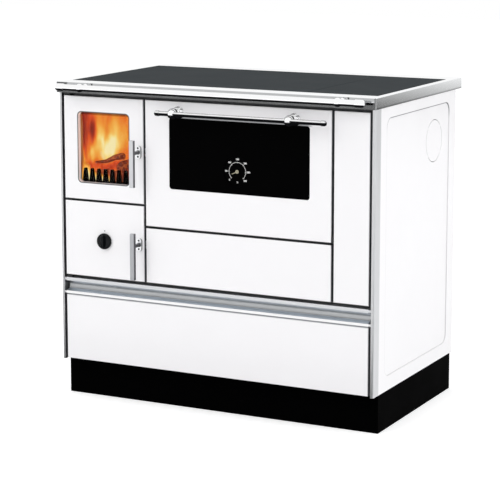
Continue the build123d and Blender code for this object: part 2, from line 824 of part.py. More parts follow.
air_hole_count = 6
air_hole_circle = 26.0
air_hole_radius = 9.0
air_slot = (22.0, 8.0)
air_slot_pitch = 30.0
spindle_radius = 4.0
knob_radius = 21.0
knob_depth = (-8.0, -0.5)
knob_ridge_half = (4.5, 17.0)
knob_ridge_front = -18.0
disc_depth = (door_depth + 0.3, door_depth + 2.3)
disc_radius = 38.0

with BuildPart() as ash_door_panel:
    left_door_panel(ash_door_z, ash_latch_z)
    rod_to_front(knob_x, knob_z, spindle_radius + 1, (0, sheet), Mode.SUBTRACT)
    with BuildSketch(level(ash_door_z[0])) as air_inlets:
        with Locations((knob_x, door_depth / 2)):
            with GridLocations(air_slot_pitch, 0, 5, 1):
                SlotOverall(*air_slot)
    extrude(air_inlets.sketch, amount=sheet, mode=Mode.SUBTRACT)
write(ash_door_panel, "ash_door_panel")


def air_holes(depth):
    """Ring of air holes round the knob's spindle, which the turning disc covers or frees."""
    with BuildSketch(front(depth[1])) as holes:
        with Locations((knob_x, knob_z)):
            with PolarLocations(air_hole_circle, air_hole_count):
                Circle(air_hole_radius)
    extrude(holes.sketch, amount=depth[1] - depth[0], mode=Mode.SUBTRACT)


with BuildPart() as ash_door_liner:
    upright(left_liner_x, grow(ash_door_z, -liner_gap), liner_depth)
    left_door_lugs(ash_door_z)
    rod_to_front(knob_x, knob_z, spindle_radius + running_gap, liner_depth, Mode.SUBTRACT)
    air_holes(liner_depth)
write(ash_door_liner, "ash_door_liner")

with BuildPart() as ash_door_seal:
    rope_seal(left_x, ash_door_z)
write(ash_door_seal, "ash_door_seal")

write(latch_plate(ash_latch_z), "ash_latch_plate")
write(latch_lever(ash_latch_z), "ash_handle")

with BuildPart() as air_knob:
    rod_to_front(knob_x, knob_z, knob_radius, knob_depth)
    fillet(edges().group_by(Axis.Y)[0], 2)
    ridge_x = grow((knob_x, knob_x), knob_ridge_half[0])
    ridge_z = grow((knob_z, knob_z), knob_ridge_half[1])
    upright(ridge_x, ridge_z, (knob_ridge_front, knob_depth[0]), 4)
    fillet(edges().group_by(Axis.Y)[0], 1.5)
    rod_to_front(knob_x, knob_z, spindle_radius, (knob_depth[1], disc_depth[1] + 0.7))
write(air_knob, "air_knob")

with BuildPart() as air_disc:
    rod_to_front(knob_x, knob_z, disc_radius, disc_depth)
    rod_to_front(knob_x, knob_z, spindle_radius, disc_depth, Mode.SUBTRACT)
    air_holes(disc_depth)
write(air_disc, "air_disc")


# ---------------------------------------------------------------- oven door
glass_corner_radius = 8.0
glass_depth = (0.2, 4.5)
glass_ledge_back = 6.5
inner_view_x = (-100.0, 254.0)
inner_view_z = (594.0, 741.0)
oven_lug_length = 28.0

with BuildPart() as oven_door_panel:
    folded_front(centre_x, oven_door_z)
    upright(glass_x, glass_z, (0, sheet), glass_corner_radius, Mode.SUBTRACT)
    tray_wall_depth = (sheet, glass_ledge_back)
    ledge_back_depth = (glass_depth[1], glass_ledge_back)
    outside_x, outside_z = grow(glass_x, 5), grow(glass_z, 5)
    inside_x, inside_z = grow(glass_x, 3), grow(glass_z, 3)
    upright_ring(outside_x, outside_z, inside_x, inside_z, tray_wall_depth, (10, 8))
    upright_ring(inside_x, inside_z, grow(glass_x, -8), grow(glass_z, -8), ledge_back_depth, (8, 4))
    for pin_x in ((centre_x[0], centre_x[0] + sheet), (centre_x[1] - sheet, centre_x[1])):
        rod_across(hinge_depth, oven_hinge_z, pin_radius + 1, pin_x, Mode.SUBTRACT)
write(oven_door_panel, "oven_door_panel")

with BuildPart() as oven_glass:
    upright(grow(glass_x, -0.3), grow(glass_z, -0.3), glass_depth, glass_corner_radius - 0.3)
    rod_to_front(dial_x, dial_z, dial_radius, glass_depth, Mode.SUBTRACT)
write(oven_glass, "oven_glass")

with BuildPart() as oven_door_liner:
    oven_liner_x = grow(centre_x, -liner_gap)
    oven_liner_z = grow(oven_door_z, -liner_gap)
    upright_ring(oven_liner_x, oven_liner_z, inner_view_x, inner_view_z, liner_depth, (0, 6))
    low, high = grow(oven_liner_x, -0.3)
    for lug_x in ((low, low + oven_lug_length), (high - oven_lug_length, high)):
        block(lug_x, lug_depth, grow((oven_hinge_z, oven_hinge_z), 5))
    rod_across(hinge_depth, oven_hinge_z, pin_radius + running_gap, centre_x, Mode.SUBTRACT)
write(oven_door_liner, "oven_door_liner")

with BuildPart() as oven_inner_glass:
    inner_glass_depth = (liner_depth[0] - 4, liner_depth[0])
    upright(grow(inner_view_x, 6), grow(inner_view_z, 6), inner_glass_depth)
    rod_to_front(dial_x, dial_z, dial_radius, inner_glass_depth, Mode.SUBTRACT)
write(oven_inner_glass, "oven_inner_glass")

with BuildPart() as oven_door_seal:
    rope_seal(centre_x, oven_door_z)
write(oven_door_seal, "oven_door_seal")

write(
    capped_bar(handle_depth, handle_z, handle_radius, handle_x, handle_cap_radius, handle_cap_length),
    "oven_handle_bar",
)
write(
    bar_posts(handle_post_x, 0, handle_depth, handle_z, handle_radius, handle_ball_radius, rosette=True),
    "oven_handle_posts",
)

dial_depth = (0.4, 15.5)
dial_face = 3.5
dial_rim = 2.0
dial_pin_radius = 1.0
needle_hub_radius = 4.5
needle_hub_depth = (1.0, 2.6)
needle_depth = (1.3, 2.2)
needle_size = (13.0, 1.6)
needle_angle = 205.0

with BuildPart() as thermometer_dial:
    rod_to_front(dial_x, dial_z, dial_radius, dial_depth)
    rod_to_front(dial_x, dial_z, dial_radius - dial_rim, (dial_depth[0], dial_face), Mode.SUBTRACT)
    rod_to_front(dial_x, dial_z, dial_pin_radius, (needle_hub_depth[0] - 0.2, dial_face))
write(thermometer_dial, "thermometer_dial")

with BuildPart() as thermometer_needle:
    rod_to_front(dial_x, dial_z, needle_hub_radius, needle_hub_depth)
    with BuildSketch(front(needle_depth[1])) as pointer:
        with Locations((dial_x, dial_z)):
            with PolarLocations(needle_size[0] / 2 + 3, 1, start_angle=needle_angle):
                Rectangle(*needle_size)
    extrude(pointer.sketch, amount=needle_depth[1] - needle_depth[0])
    rod_to_front(dial_x, dial_z, dial_pin_radius + running_gap, needle_hub_depth, Mode.SUBTRACT)
write(thermometer_needle, "thermometer_needle")


# ---------------------------------------------------------------- lower cover and wood drawer
clip_width = 14.0
clip_inset = 12.0
clip_thickness = 3.0
clip_depth = (sheet, door_depth + 2)
hatch_overlap = 10.0
hatch_depth = (face_depth[0] - 3.3, face_depth[0] - 0.3)
hatch_post_radius = 5.0
hatch_post_inset = (30.0, 25.0)

with BuildPart() as lower_cover:
    folded_front(centre_x, cover_z)
    for x in grow(centre_x, -clip_inset - clip_width / 2):
        for z in grow(cover_z, -sheet - clip_thickness / 2):
            clip_x = grow((x, x), clip_width / 2)
            block(clip_x, clip_depth, grow((z, z), clip_thickness / 2))
write(lower_cover, "lower_cover")

with BuildPart() as soot_hatch:
    hatch_x, hatch_z = (grow(limits, hatch_overlap) for limits in frame_openings["cleaning"])
    upright(hatch_x, hatch_z, hatch_depth, radius=6)
    for x in grow(hatch_x, -hatch_post_inset[0]):
        for z in grow(hatch_z, -hatch_post_inset[1]):
            rod_to_front(x, z, hatch_post_radius, (sheet, hatch_depth[0]))
write(soot_hatch, "soot_hatch")

drawer_front_back = 23.0
drawer_box_x = (-414.0, 414.0)
drawer_box_depth = (drawer_front_back, 480.0)
drawer_box_z = (112.0, 300.0)
drawer_wall = 2.5
slide_width = 12.0
slide_depth = (60.0, 470.0)
slide_z = (165.6, 174.4)
runner_x = (421.0, panel_inner - sheet)
runner_groove = 7.0
runner_depth = (40.0, 500.0)
runner_half_height = 12.0

with BuildPart() as drawer_front:
    folded_front((-door_half, door_half), drawer_z, depth=drawer_front_back)
write(drawer_front, "drawer_front")

with BuildPart() as drawer_box:
    open_box(drawer_box_x, drawer_box_depth, drawer_box_z, drawer_wall, "top")
    for side_x in drawer_box_x:
        slide_x = sorted((side_x, side_x + slide_width * (1 if side_x > 0 else -1)))
        block(slide_x, slide_depth, slide_z)
write(drawer_box, "drawer_box")

grip_back = 22.0
lip_half = door_half + 6.0
lip_end_depth = (1.2, 3.0)
upper_lip_end_z = (311.5, 318.0)
lower_lip_end_z = (277.0, 282.5)
upper_lip_outline = [(11.0, 308.5), (3.0, 310.0), (0.3, 310.5), (1.2, grip_z[1]), (grip_back, grip_z[1])]
lower_lip_outline = [
    (grip_back, grip_z[0]),
    (2.0, grip_z[0]),
    (2.0, 275.0),
    (0.0, 276.5),
    (1.0, 283.0),
    (3.0, 284.0),
    (12.0, 287.5),
]
grip_channel_middle = (17.0, 298.0)

with BuildPart() as drawer_grip:
    with BuildSketch(side(-door_half)):
        with BuildLine():
            Polyline(*lower_lip_outline)
            ThreePointArc(lower_lip_outline[-1], grip_channel_middle, upper_lip_outline[0])
            Polyline(*upper_lip_outline)
            Line(upper_lip_outline[-1], lower_lip_outline[0])
        make_face()
    extrude(amount=2 * door_half)
    for lip_z in (upper_lip_end_z, lower_lip_end_z):
        block((-lip_half, lip_half), lip_end_depth, lip_z)
write(drawer_grip, "drawer_grip")

with BuildPart() as drawer_runners:
    for sign in (-1, 1):
        outer_x = sorted((sign * runner_x[0], sign * runner_x[1]))
        groove_x = sorted((sign * runner_x[0], sign * (runner_x[0] + runner_groove)))
        middle = sum(slide_z) / 2
        block(outer_x, runner_depth, grow((middle, middle), runner_half_height))
        block(groove_x, runner_depth, grow(slide_z, 0.6), mode=Mode.SUBTRACT)
write(drawer_runners, "drawer_runners")
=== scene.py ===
"""Looks of the wood cookstove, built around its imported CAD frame.

Lengths are in millimetres until they reach a mesh. X runs to the right, "depth" is measured
back from the door faces and Z up, as in the CAD source.
"""

import math

import bmesh
import bpy
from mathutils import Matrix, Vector, noise


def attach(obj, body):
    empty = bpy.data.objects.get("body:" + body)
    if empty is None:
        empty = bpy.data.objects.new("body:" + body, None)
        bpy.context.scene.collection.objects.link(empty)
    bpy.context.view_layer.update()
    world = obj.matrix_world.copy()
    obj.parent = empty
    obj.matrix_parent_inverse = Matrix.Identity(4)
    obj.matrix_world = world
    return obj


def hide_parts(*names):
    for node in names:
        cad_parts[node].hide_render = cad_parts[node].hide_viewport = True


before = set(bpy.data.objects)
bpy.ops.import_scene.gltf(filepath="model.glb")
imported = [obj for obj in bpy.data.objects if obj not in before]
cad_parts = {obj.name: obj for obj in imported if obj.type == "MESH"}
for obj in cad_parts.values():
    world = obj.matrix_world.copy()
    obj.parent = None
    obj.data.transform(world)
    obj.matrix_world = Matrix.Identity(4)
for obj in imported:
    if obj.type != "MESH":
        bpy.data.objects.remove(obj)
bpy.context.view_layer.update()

FRONT_Y = -261.5
MM = 0.001


def place(x, depth, z):
    """Point of the shared frame, in metres."""
    return Vector((x * MM, (FRONT_Y + depth) * MM, z * MM))


# ---------------------------------------------------------------- places on the stove, in mm
SHEET_BACK = 3.2
WINDOW_X, WINDOW_Z = -314.0, 667.5
GLASS_SHADE_X, GLASS_SHADE_Z = 77.0, 760.5
KNOB_X, KNOB_Z = -313.0, 425.0
KNOB_MARK_RISE = 27.0
DIAL_X, DIAL_Z = 73.0, 633.0
LATCH_X, FIREBOX_LATCH_Z, ASH_LATCH_Z = -209.0, 664.5, 424.7
LATCH_SCREW_OFFSET = 11.0
SIDE_SHEET_X = 443.2
FIRE_X = -320.0

LEFT_DOOR_X, OVEN_DOOR_X = (-432, -196), (-189, 331)
FIREBOX_DOOR_Z, ASH_DOOR_Z, OVEN_DOOR_Z = (531, 800), (327.5, 525), (475.4, 800)


# ---------------------------------------------------------------- camera
CAMERA_TURN, CAMERA_DIP = 26.990, 9.080

camera_data = bpy.data.cameras.new("camera")
camera_data.sensor_width = 36.0
camera_data.lens = 134.987
camera_data.shift_y = -0.12
camera_data.clip_start = 0.1
camera_data.clip_end = 60.0
camera = bpy.data.objects.new("camera", camera_data)
camera.location = (2.195282, -4.355801, 1.324483)
camera.rotation_euler = (math.radians(90 - CAMERA_DIP), 0.0, math.radians(CAMERA_TURN))
bpy.context.scene.collection.objects.link(camera)
bpy.context.scene.camera = camera
bpy.context.scene.view_settings.view_transform = "Standard"


# ---------------------------------------------------------------- shader helpers
class Shader:
    """A node tree with short calls for the nodes that the materials share."""

    def __init__(self, owner):
        owner.use_nodes = True
        self.tree = owner.node_tree
        self.tree.nodes.clear()

    def node(self, kind, inputs=None, **settings):
        made = self.tree.nodes.new("ShaderNode" + kind)
        for key, value in settings.items():
            setattr(made, key, value)
        for key, value in (inputs or {}).items():
            if isinstance(value, bpy.types.NodeSocket):
                self.tree.links.new(value, made.inputs[key])
            else:
                made.inputs[key].default_value = value
        return made

    def point(self, stretch=(1.0, 1.0, 1.0)):
        """Object coordinates, in metres, scaled along each axis."""
        coords = self.node("TexCoord").outputs["Object"]
        return self.node("Mapping", {"Vector": coords, "Scale": stretch}).outputs[0]

    def noise(self, scale, detail=3.0, roughness=0.5, distortion=0.0, vector=None):
        vector = vector or self.point()
        inputs = {
            "Vector": vector,
            "Scale": scale,
            "Detail": detail,
            "Roughness": roughness,
            "Distortion": distortion,
        }
        return self.node("TexNoise", inputs).outputs["Fac"]

    def cracks(self, scale):
        """Distance to the nearest border between cells."""
        inputs = {"Vector": self.point(), "Scale": scale}
        made = self.node("TexVoronoi", inputs, feature="DISTANCE_TO_EDGE")
        return made.outputs["Distance"]

    def span(self, value, low, high, start, end):
        """Maps low..high to start..end and keeps within them."""
        inputs = {
            "Value": value,
            "From Min": low,
            "From Max": high,
            "To Min": start,
            "To Max": end,
        }
        return self.node("MapRange", inputs).outputs[0]

    def math(self, operation, first, second=0.0):
        return self.node("Math", {0: first, 1: second}, operation=operation).outputs[0]

    def vector_math(self, operation, first, second=(0.0, 0.0, 0.0)):
        return self.node("VectorMath", {0: first, 1: second}, operation=operation).outputs[0]

    def length(self, vector):
        return self.node("VectorMath", {0: vector}, operation="LENGTH").outputs["Value"]

    def mix(self, factor, first, second):
        inputs = {0: factor, 6: first, 7: second}
        return self.node("Mix", inputs, data_type="RGBA", blend_type="MIX").outputs[2]

    def ramp(self, value, stops):
        made = self.node("ValToRGB", {0: value})
        elements = made.color_ramp.elements
        while len(elements) < len(stops):
            elements.new(0.5)
        for element, (position, colour) in zip(elements, stops):
            element.position = position
            element.color = (*colour, 1.0)
        return made.outputs["Color"]

    def axis(self, name):
        """One of the object coordinates, in metres."""
        split = self.node("SeparateXYZ", {0: self.node("TexCoord").outputs["Object"]})
        return split.outputs[name]

    def field(self, centre, reach, vector=None):
        """1 at a point of the part, falling to 0 on an ellipsoid round it.

        Lengths are in millimetres, and a reach of 0 ignores that axis.
        """
        scale = [1 / (r * MM) if r else 0.0 for r in reach]
        middle = place(*centre)
        inputs = {
            "Vector": vector or self.point(),
            "Location": [-c * k for c, k in zip(middle, scale)],
            "Scale": scale,
        }
        moved = self.node("Mapping", inputs).outputs[0]
        return self.span(self.length(moved), 0.0, 1.0, 1.0, 0.0)

    def outline(self, centre, half, radius, width):
        """1 on the outline of a rounded rectangle and 0 beside it.

        Lengths are in millimetres, and a half of 0 ignores that axis.
        """
        kept = [1.0 if h else 0.0 for h in half]
        offset = self.vector_math("SUBTRACT", self.point(), place(*centre))
        folded = self.vector_math("ABSOLUTE", self.vector_math("MULTIPLY", offset, kept))
        straight = [(h - radius) * MM if h else 0.0 for h in half]
        past = self.vector_math("MAXIMUM", self.vector_math("SUBTRACT", folded, straight))
        distance = self.math("ABSOLUTE", self.math("SUBTRACT", self.length(past), radius * MM))
        return self.span(distance, width * MM * 0.5, width * MM, 1.0, 0.0)

    def normal(self, name):
        """One axis of the way a face looks, in the part's own directions."""
        return self.node("SeparateXYZ", {0: self.node("TexCoord").outputs["Normal"]}).outputs[name]

    def warped(self, stretch, amount):
        """Object coordinates pushed about by soft noise, in metres."""
        inputs = {"Vector": self.point(stretch), "Scale": 1.0, "Detail": 3.0}
        swirl = self.node("TexNoise", inputs).outputs["Color"]
        centred = self.vector_math("SUBTRACT", swirl, (0.5, 0.5, 0.5))
        inputs = {0: centred, 1: amount, 2: self.point()}
        return self.node("VectorMath", inputs, operation="MULTIPLY_ADD").outputs[0]

    def bump(self, height, strength, distance, normal=None):
        inputs = {"Height": height, "Strength": strength, "Distance": distance}
        if normal:
            inputs["Normal"] = normal
        return self.node("Bump", inputs).outputs[0]

    def surface(self, shader):
        self.node("OutputMaterial", {"Surface": shader})

    def principled(self, **inputs):
        named = {key.replace("_", " "): value for key, value in inputs.items()}
        return self.node("BsdfPrincipled", named).outputs[0]


def rgb(colour):
    """Colour with the opaque alpha that a socket wants."""
    return (*colour, 1.0)


WHITE = rgb((1.0, 1.0, 1.0))


def material(name):
    """New material and the Shader over its node tree."""
    made = bpy.data.materials.new(name)
    return made, Shader(made)


FRONT_WHITE = (0.935, 0.924, 0.935)
# Painted shade: a dark undercoat on edges and backs that stands for the shade in the gaps between
# parts.
PAINTED_GAP_SHADE = (0.13, 0.135, 0.145)
# Painted shade along edges, and also the colour of the dot by the air knob.
PAINTED_SHADE_AND_MARK = (0.07, 0.078, 0.086)


def enamel(name, gap_shade_mask, lines=None):
    """White gloss enamel with a soft orange-peel skin.

    gap_shade_mask masks where the dark undercoat shows, painted on edges and backs as the shade in
    the gaps between parts; lines masks a darker mark, and painted shade along an edge.
    """
    made, s = material(name)
    cloud = s.noise(5.0, 2.0)
    low = [c * 0.985 for c in FRONT_WHITE]
    high = [min(1.0, c * 1.01) for c in FRONT_WHITE]
    tone = s.mix(cloud, rgb(low), rgb(high))
    if lines:
        # Painted shade lines along edges, and the marked dot, in one dark colour.
        tone = s.mix(lines(s), tone, rgb(PAINTED_SHADE_AND_MARK))
    # Painted shade in the gaps, as the dark undercoat on the edges behind the front.
    colour_out = s.mix(gap_shade_mask(s), tone, rgb(PAINTED_GAP_SHADE))
    skin = s.noise(420.0, 2.0)
    waves = s.noise(26.0, 2.0)
    peel = s.bump(skin, 0.05, 0.0004)
    s.surface(
        s.principled(
            Base_Color=colour_out,
            Roughness=s.span(waves, 0.3, 0.7, 0.16, 0.24),
            Normal=s.bump(waves, 0.03, 0.002, peel),
        )
    )
    return made


def behind_front(s):
    """1 behind the face of a front folded from sheet, where the painted gap shade goes."""
    edge = (FRONT_Y + SHEET_BACK) * MM
    return s.span(s.axis("Y"), edge, edge + 0.0006, 0.0, 1.0)


def window_rim_shade(s):
    """Painted shade round the rim of the firebox window."""
    ring = s.outline((WINDOW_X, 0.0, WINDOW_Z), (76.8, 0.0, 92.3), 10.8, 2.0)
    on_face = s.math("LESS_THAN", s.axis("Y"), (FRONT_Y + 1.0) * MM)
    return s.math("MULTIPLY", ring, on_face)


def window_inside(s):
    """The door behind its face: dark with painted gap shade, but lighter in the collar round the
    window.
    """
    collar = s.field((WINDOW_X, 8.0, WINDOW_Z), (114.0, 0.0, 134.0))
    return s.math("MULTIPLY", behind_front(s), s.span(collar, 0.0, 0.02, 1.0, 0.12))


def knob_mark(s):
    """Dot above the air knob."""
    dot = s.field((KNOB_X, 0.0, KNOB_Z + KNOB_MARK_RISE), (2.0, 0.0, 2.0))
    return s.span(dot, 0.0, 0.3, 0.0, 0.9)


def glass_edge(s):
    """Shade on the door along the top of the oven glass."""
    off_middle = s.math("ABSOLUTE", s.math("SUBTRACT", s.axis("X"), GLASS_SHADE_X * MM))
    across = s.span(off_middle, 0.190, 0.205, 1.0, 0.0)
    off_line = s.math("ABSOLUTE", s.math("SUBTRACT", s.axis("Z"), GLASS_SHADE_Z * MM))
    return s.math("MULTIPLY", across, s.span(off_line, 0.0030, 0.0042, 0.70, 0.0))


def pressed_edge_shade(s):
    """Painted shade along the edge of the field pressed into a side panel, clearest at the top."""
    line = s.outline((0.0, 279.0, 457.0), (0.0, 209.0, 322.0), 25.0, 1.7)
    return s.math("MULTIPLY", line, s.span(s.axis("Z"), 0.735, 0.776, 0.14, 0.80))


def inside_wall(s):
    """1 further in than a side panel's sheet, as on its flanges, where the painted gap shade goes.
    """
    distance = s.math("ABSOLUTE", s.axis("X"))
    return s.span(distance, SIDE_SHEET_X * MM - 0.0004, SIDE_SHEET_X * MM, 1.0, 0.0)


def metal(name, colour, roughness, grain=None, blotch=0.05):
    """Bare metal. grain is the stretch of its brushing lines, or None for a polished face."""
    made, s = material(name)
    cloud = s.noise(9.0, 3.0, 0.6)
    low = [c * (1 - blotch) for c in colour]
    high = [min(1.0, c * (1 + blotch)) for c in colour]
    tone = s.mix(cloud, rgb(low), rgb(high))
    prints = s.noise(38.0, 4.0, 0.65, 0.6)
    rough = s.span(prints, 0.35, 0.75, roughness, roughness + 0.03)
    fine = s.noise(1800.0, 1.0)
    normal = s.bump(fine, 0.02, 0.0001)
    if grain:
        lines = s.noise(1.0, 4.0, 0.7, vector=s.point(grain))
        tone = s.mix(s.span(lines, 0.3, 0.7, 0.0, 0.35), tone, rgb([c * 0.72 for c in colour]))
        rough = s.math("ADD", rough, s.span(lines, 0.3, 0.7, -0.04, 0.08))
        normal = s.bump(lines, 0.08, 0.0002, normal)
    s.surface(s.principled(Base_Color=tone, Metallic=1.0, Roughness=rough, Normal=normal))
    return made


def bar_chrome(name, start, full, lowest, neck_shade=None):
    """Chrome drawn dark underneath, as it mirrors the dark below it in the photo.

    The dark comes in as Z of the way a face looks falls from start to full. All below the height
    lowest is dark too, and neck_shade gives the depths of a ring on a post painted dark as the
    shade in its neck.
    """
    made, s = material(name)
    prints = s.noise(38.0, 4.0, 0.65, 0.6)
    turned_down = s.span(s.normal("Z"), full, start, 1.0, 0.0)
    dark = s.math("MAXIMUM", turned_down, s.math("LESS_THAN", s.axis("Z"), lowest * MM))
    # Painted shade: a dark ring round the neck of a post.
    if neck_shade:
        middle = (FRONT_Y + sum(neck_shade) / 2) * MM
        half = (neck_shade[1] - neck_shade[0]) / 2 * MM
        off_middle = s.math("ABSOLUTE", s.math("SUBTRACT", s.axis("Y"), middle))
        dark = s.math("MAXIMUM", dark, s.span(off_middle, half, half + 0.0005, 1.0, 0.0))
    s.surface(
        s.principled(
            Base_Color=s.mix(dark, rgb((0.955, 0.957, 0.962)), rgb((0.006, 0.006, 0.007))),
            Metallic=s.math("SUBTRACT", 1.0, dark),
            Roughness=s.span(prints, 0.35, 0.75, 0.03, 0.06),
            Specular_IOR_Level=0.0,
        )
    )
    return made


def frame_metal():
    """Ground steel of the top frame, greyer with painted reflection on its upright front and at
    its corners, and with painted shade low down.
    """
    made, s = material("frame_steel")
    cloud = s.noise(9.0, 3.0, 0.6)
    lines = s.noise(1.0, 4.0, 0.7, vector=s.point((6.0, 900.0, 900.0)))
    tone = s.mix(cloud, rgb((0.885, 0.90, 0.91)), rgb((0.935, 0.95, 0.955)))
    tone = s.mix(s.span(lines, 0.3, 0.7, 0.0, 0.08), tone, rgb((0.66, 0.66, 0.67)))
    # Painted reflection greys the upright front and the corners; painted shade greys the low edge.
    upright = s.span(s.normal("Y"), -0.95, -0.80, 1.0, 0.0)
    turned = s.span(s.math("ABSOLUTE", s.normal("X")), 0.1, 0.4, 0.0, 1.0)
    corner = s.math("MULTIPLY", turned, s.span(s.normal("Y"), -0.4, -0.1, 1.0, 0.0))
    low = s.span(s.axis("Z"), 0.8095, 0.8130, 0.5, 0.0)
    front_grey, corner_grey = s.math("MULTIPLY", upright, 0.42), s.math("MULTIPLY", corner, 0.74)
    grey = s.math("MAXIMUM", s.math("MAXIMUM", front_grey, corner_grey), low)
    tone = s.mix(grey, tone, rgb((0.0, 0.0, 0.0)))
    s.surface(
        s.principled(
            Base_Color=tone,
            Metallic=1.0,
            Roughness=s.span(cloud, 0.35, 0.75, 0.05, 0.08),
            Normal=s.bump(lines, 0.004, 0.0002),
        )
    )
    return made


# Painted highlights and shade on the grip profile, in bands by height from 272 to 319 mm.
GRIP_PAINTED_LIGHT = [
    (0.0, (0.80, 0.80, 0.81)),
    (0.03, (0.30, 0.31, 0.33)),
    (0.08, (0.30, 0.31, 0.33)),
    (0.11, (1.0, 1.0, 1.0)),
    (0.235, (1.0, 1.0, 1.0)),
    (0.25, (0.78, 0.86, 0.95)),
    (0.335, (0.80, 0.88, 0.97)),
    (0.36, (0.55, 0.56, 0.57)),
    (0.66, (0.40, 0.41, 0.42)),
    (0.71, (0.72, 0.73, 0.75)),
    (0.80, (0.72, 0.73, 0.75)),
    (0.83, (0.70, 0.71, 0.73)),
    (1.0, (0.74, 0.75, 0.77)),
]


def grip_aluminium():
    """Anodised grip profile with painted light by height: painted highlights on the lips, and
    painted shade in the channel and on the ledge in it.
    """
    made, s = material("grip_profile")
    lines = s.noise(1.0, 4.0, 0.7, vector=s.point((12.0, 700.0, 700.0)))
    painted_light_bands = s.ramp(s.span(s.axis("Z"), 0.272, 0.319, 0.0, 1.0), GRIP_PAINTED_LIGHT)
    tone = s.mix(s.span(lines, 0.3, 0.7, 0.0, 0.12), painted_light_bands, rgb((0.45, 0.46, 0.47)))
    s.surface(
        s.principled(
            Base_Color=tone,
            Metallic=1.0,
            Roughness=s.span(lines, 0.3, 0.7, 0.38, 0.48),
            Normal=s.bump(lines, 0.05, 0.0002),
        )
    )
    return made


def lever_steel():
    """Brushed flat steel of the latch levers, darker low down, with painted shade on its right
    edge.
    """
    made, s = material("lever_steel")
    lines = s.noise(1.0, 4.0, 0.7, vector=s.point((900.0, 900.0, 20.0)))
    height = s.span(s.axis("Z"), 0.44, 0.60, 0.0, 1.0)
    tone = s.mix(height, rgb((0.46, 0.465, 0.485)), rgb((0.66, 0.665, 0.685)))
    tone = s.mix(s.span(lines, 0.3, 0.7, 0.0, 0.20), tone, rgb((0.34, 0.34, 0.35)))
    # Painted shade on the lever's right edge.
    edge = s.span(s.normal("X"), 0.35, 0.85, 0.0, 0.80)
    s.surface(
        s.principled(
            Base_Color=s.mix(edge, tone, rgb((0.05, 0.05, 0.055))),
            Metallic=1.0,
            Roughness=s.span(lines, 0.3, 0.7, 0.40, 0.50),
            Normal=s.bump(lines, 0.06, 0.0002),
        )
    )
    return made


def latch_steel():
    """Satin latch steel with blackened screw heads, and painted shade on its right side and round
    the shaft in its middle.
    """
    made, s = material("latch_steel")
    cloud = s.noise(40.0, 3.0, 0.6)
    scratches = s.noise(1.0, 4.0, 0.7, vector=s.point((700.0, 700.0, 60.0)))
    tone = s.mix(cloud, rgb((0.80, 0.81, 0.82)), rgb((0.92, 0.93, 0.94)))
    # Painted shade on the right side and round the shaft; the screw heads are blackened.
    dark = s.span(s.normal("X"), 0.25, 0.75, 0.0, 0.85)
    screw, shaft_shade = 2.7, 6.2
    spots = ((-LATCH_SCREW_OFFSET, screw), (LATCH_SCREW_OFFSET, screw), (0.0, shaft_shade))
    for z in (FIREBOX_LATCH_Z, ASH_LATCH_Z):
        for offset, radius in spots:
            near = s.field((LATCH_X, 0, z + offset), (radius, 0, radius))
            dark = s.math("MAXIMUM", dark, s.span(near, 0.0, 0.08, 0.0, 1.0))
    s.surface(
        s.principled(
            Base_Color=s.mix(dark, tone, rgb((0.012, 0.012, 0.013))),
            Metallic=s.math("SUBTRACT", 1.0, dark),
            Roughness=s.span(scratches, 0.3, 0.7, 0.24, 0.38),
            Normal=s.bump(scratches, 0.04, 0.0002),
        )
    )
    return made


def paint(name, colour, roughness, speckle=0.02, bumps=0.1, specular=0.5):
    """Sprayed or cast coating with a fine texture and faint wear."""
    made, s = material(name)
    cloud = s.noise(7.0, 4.0, 0.6)
    grains = s.noise(900.0, 2.0, 0.6)
    tone = s.mix(cloud, rgb([c * 0.85 for c in colour]), rgb([c * 1.15 for c in colour]))
    tone = s.mix(s.span(grains, 0.55, 0.8, 0.0, speckle), tone, rgb([0.35, 0.35, 0.36]))
    s.surface(
        s.principled(
            Base_Color=tone,
            Roughness=s.span(cloud, 0.3, 0.7, roughness - 0.05, roughness + 0.05),
            Specular_IOR_Level=specular,
            Normal=s.bump(grains, bumps, 0.0003),
        )
    )
    return made


# ---------------------------------------------------------------- materials
white_front = enamel("white_front", behind_front)
white_window = enamel("white_window_front", window_inside, window_rim_shade)
white_ash = enamel("white_ash_front", behind_front, knob_mark)
white_oven = enamel("white_oven_front", behind_front, glass_edge)
white_side = enamel("white_side", inside_wall, pressed_edge_shade)
chrome = metal("polished_chrome", (0.96, 0.96, 0.965), 0.03, blotch=0.01)
rail_chrome = bar_chrome("rail_chrome", start=-0.18, full=-0.32, lowest=816.0)
rail_post_chrome = bar_chrome(
    "rail_post_chrome", start=-0.18, full=-0.32, lowest=822.0, neck_shade=(-33.0, -28.0)
)
handle_post_chrome = bar_chrome(
    "handle_post_chrome", start=-0.06, full=-0.25, lowest=767.5, neck_shade=(-33.5, -28.5)
)
handle_chrome = bar_chrome("handle_chrome", start=0.38, full=0.18, lowest=767.5)
frame_steel = frame_metal()
profile_metal = metal("anodised_profile", (0.62, 0.625, 0.635), 0.36, grain=(700.0, 700.0, 12.0))
grip_metal = grip_aluminium()
lever_metal = lever_steel()
latch_metal = latch_steel()
zinc = metal("galvanised_sheet", (0.55, 0.56, 0.57), 0.38, grain=(14.0, 60.0, 60.0), blotch=0.18)
black_plinth = paint(
    "plinth_paint", (0.0006, 0.0006, 0.0007), 0.6, speckle=0.001, specular=0.004
)
frame_grey = paint("face_frame_grey", (0.15, 0.153, 0.158), 0.5, specular=0.3)
dark_sheet = paint("dark_sheet", (0.035, 0.036, 0.038), 0.6, specular=0.3)
black_enamel = paint("black_enamel", (0.012, 0.012, 0.013), 0.25, speckle=0.10, bumps=0.03)
fender_black = paint(
    "fender_black", (0.0008, 0.0007, 0.0007), 0.7, speckle=0.001, specular=0.01
)
dial_black = paint(
    "dial_black", (0.0008, 0.0008, 0.0009), 0.4, speckle=0.0, bumps=0.02, specular=0.008
)


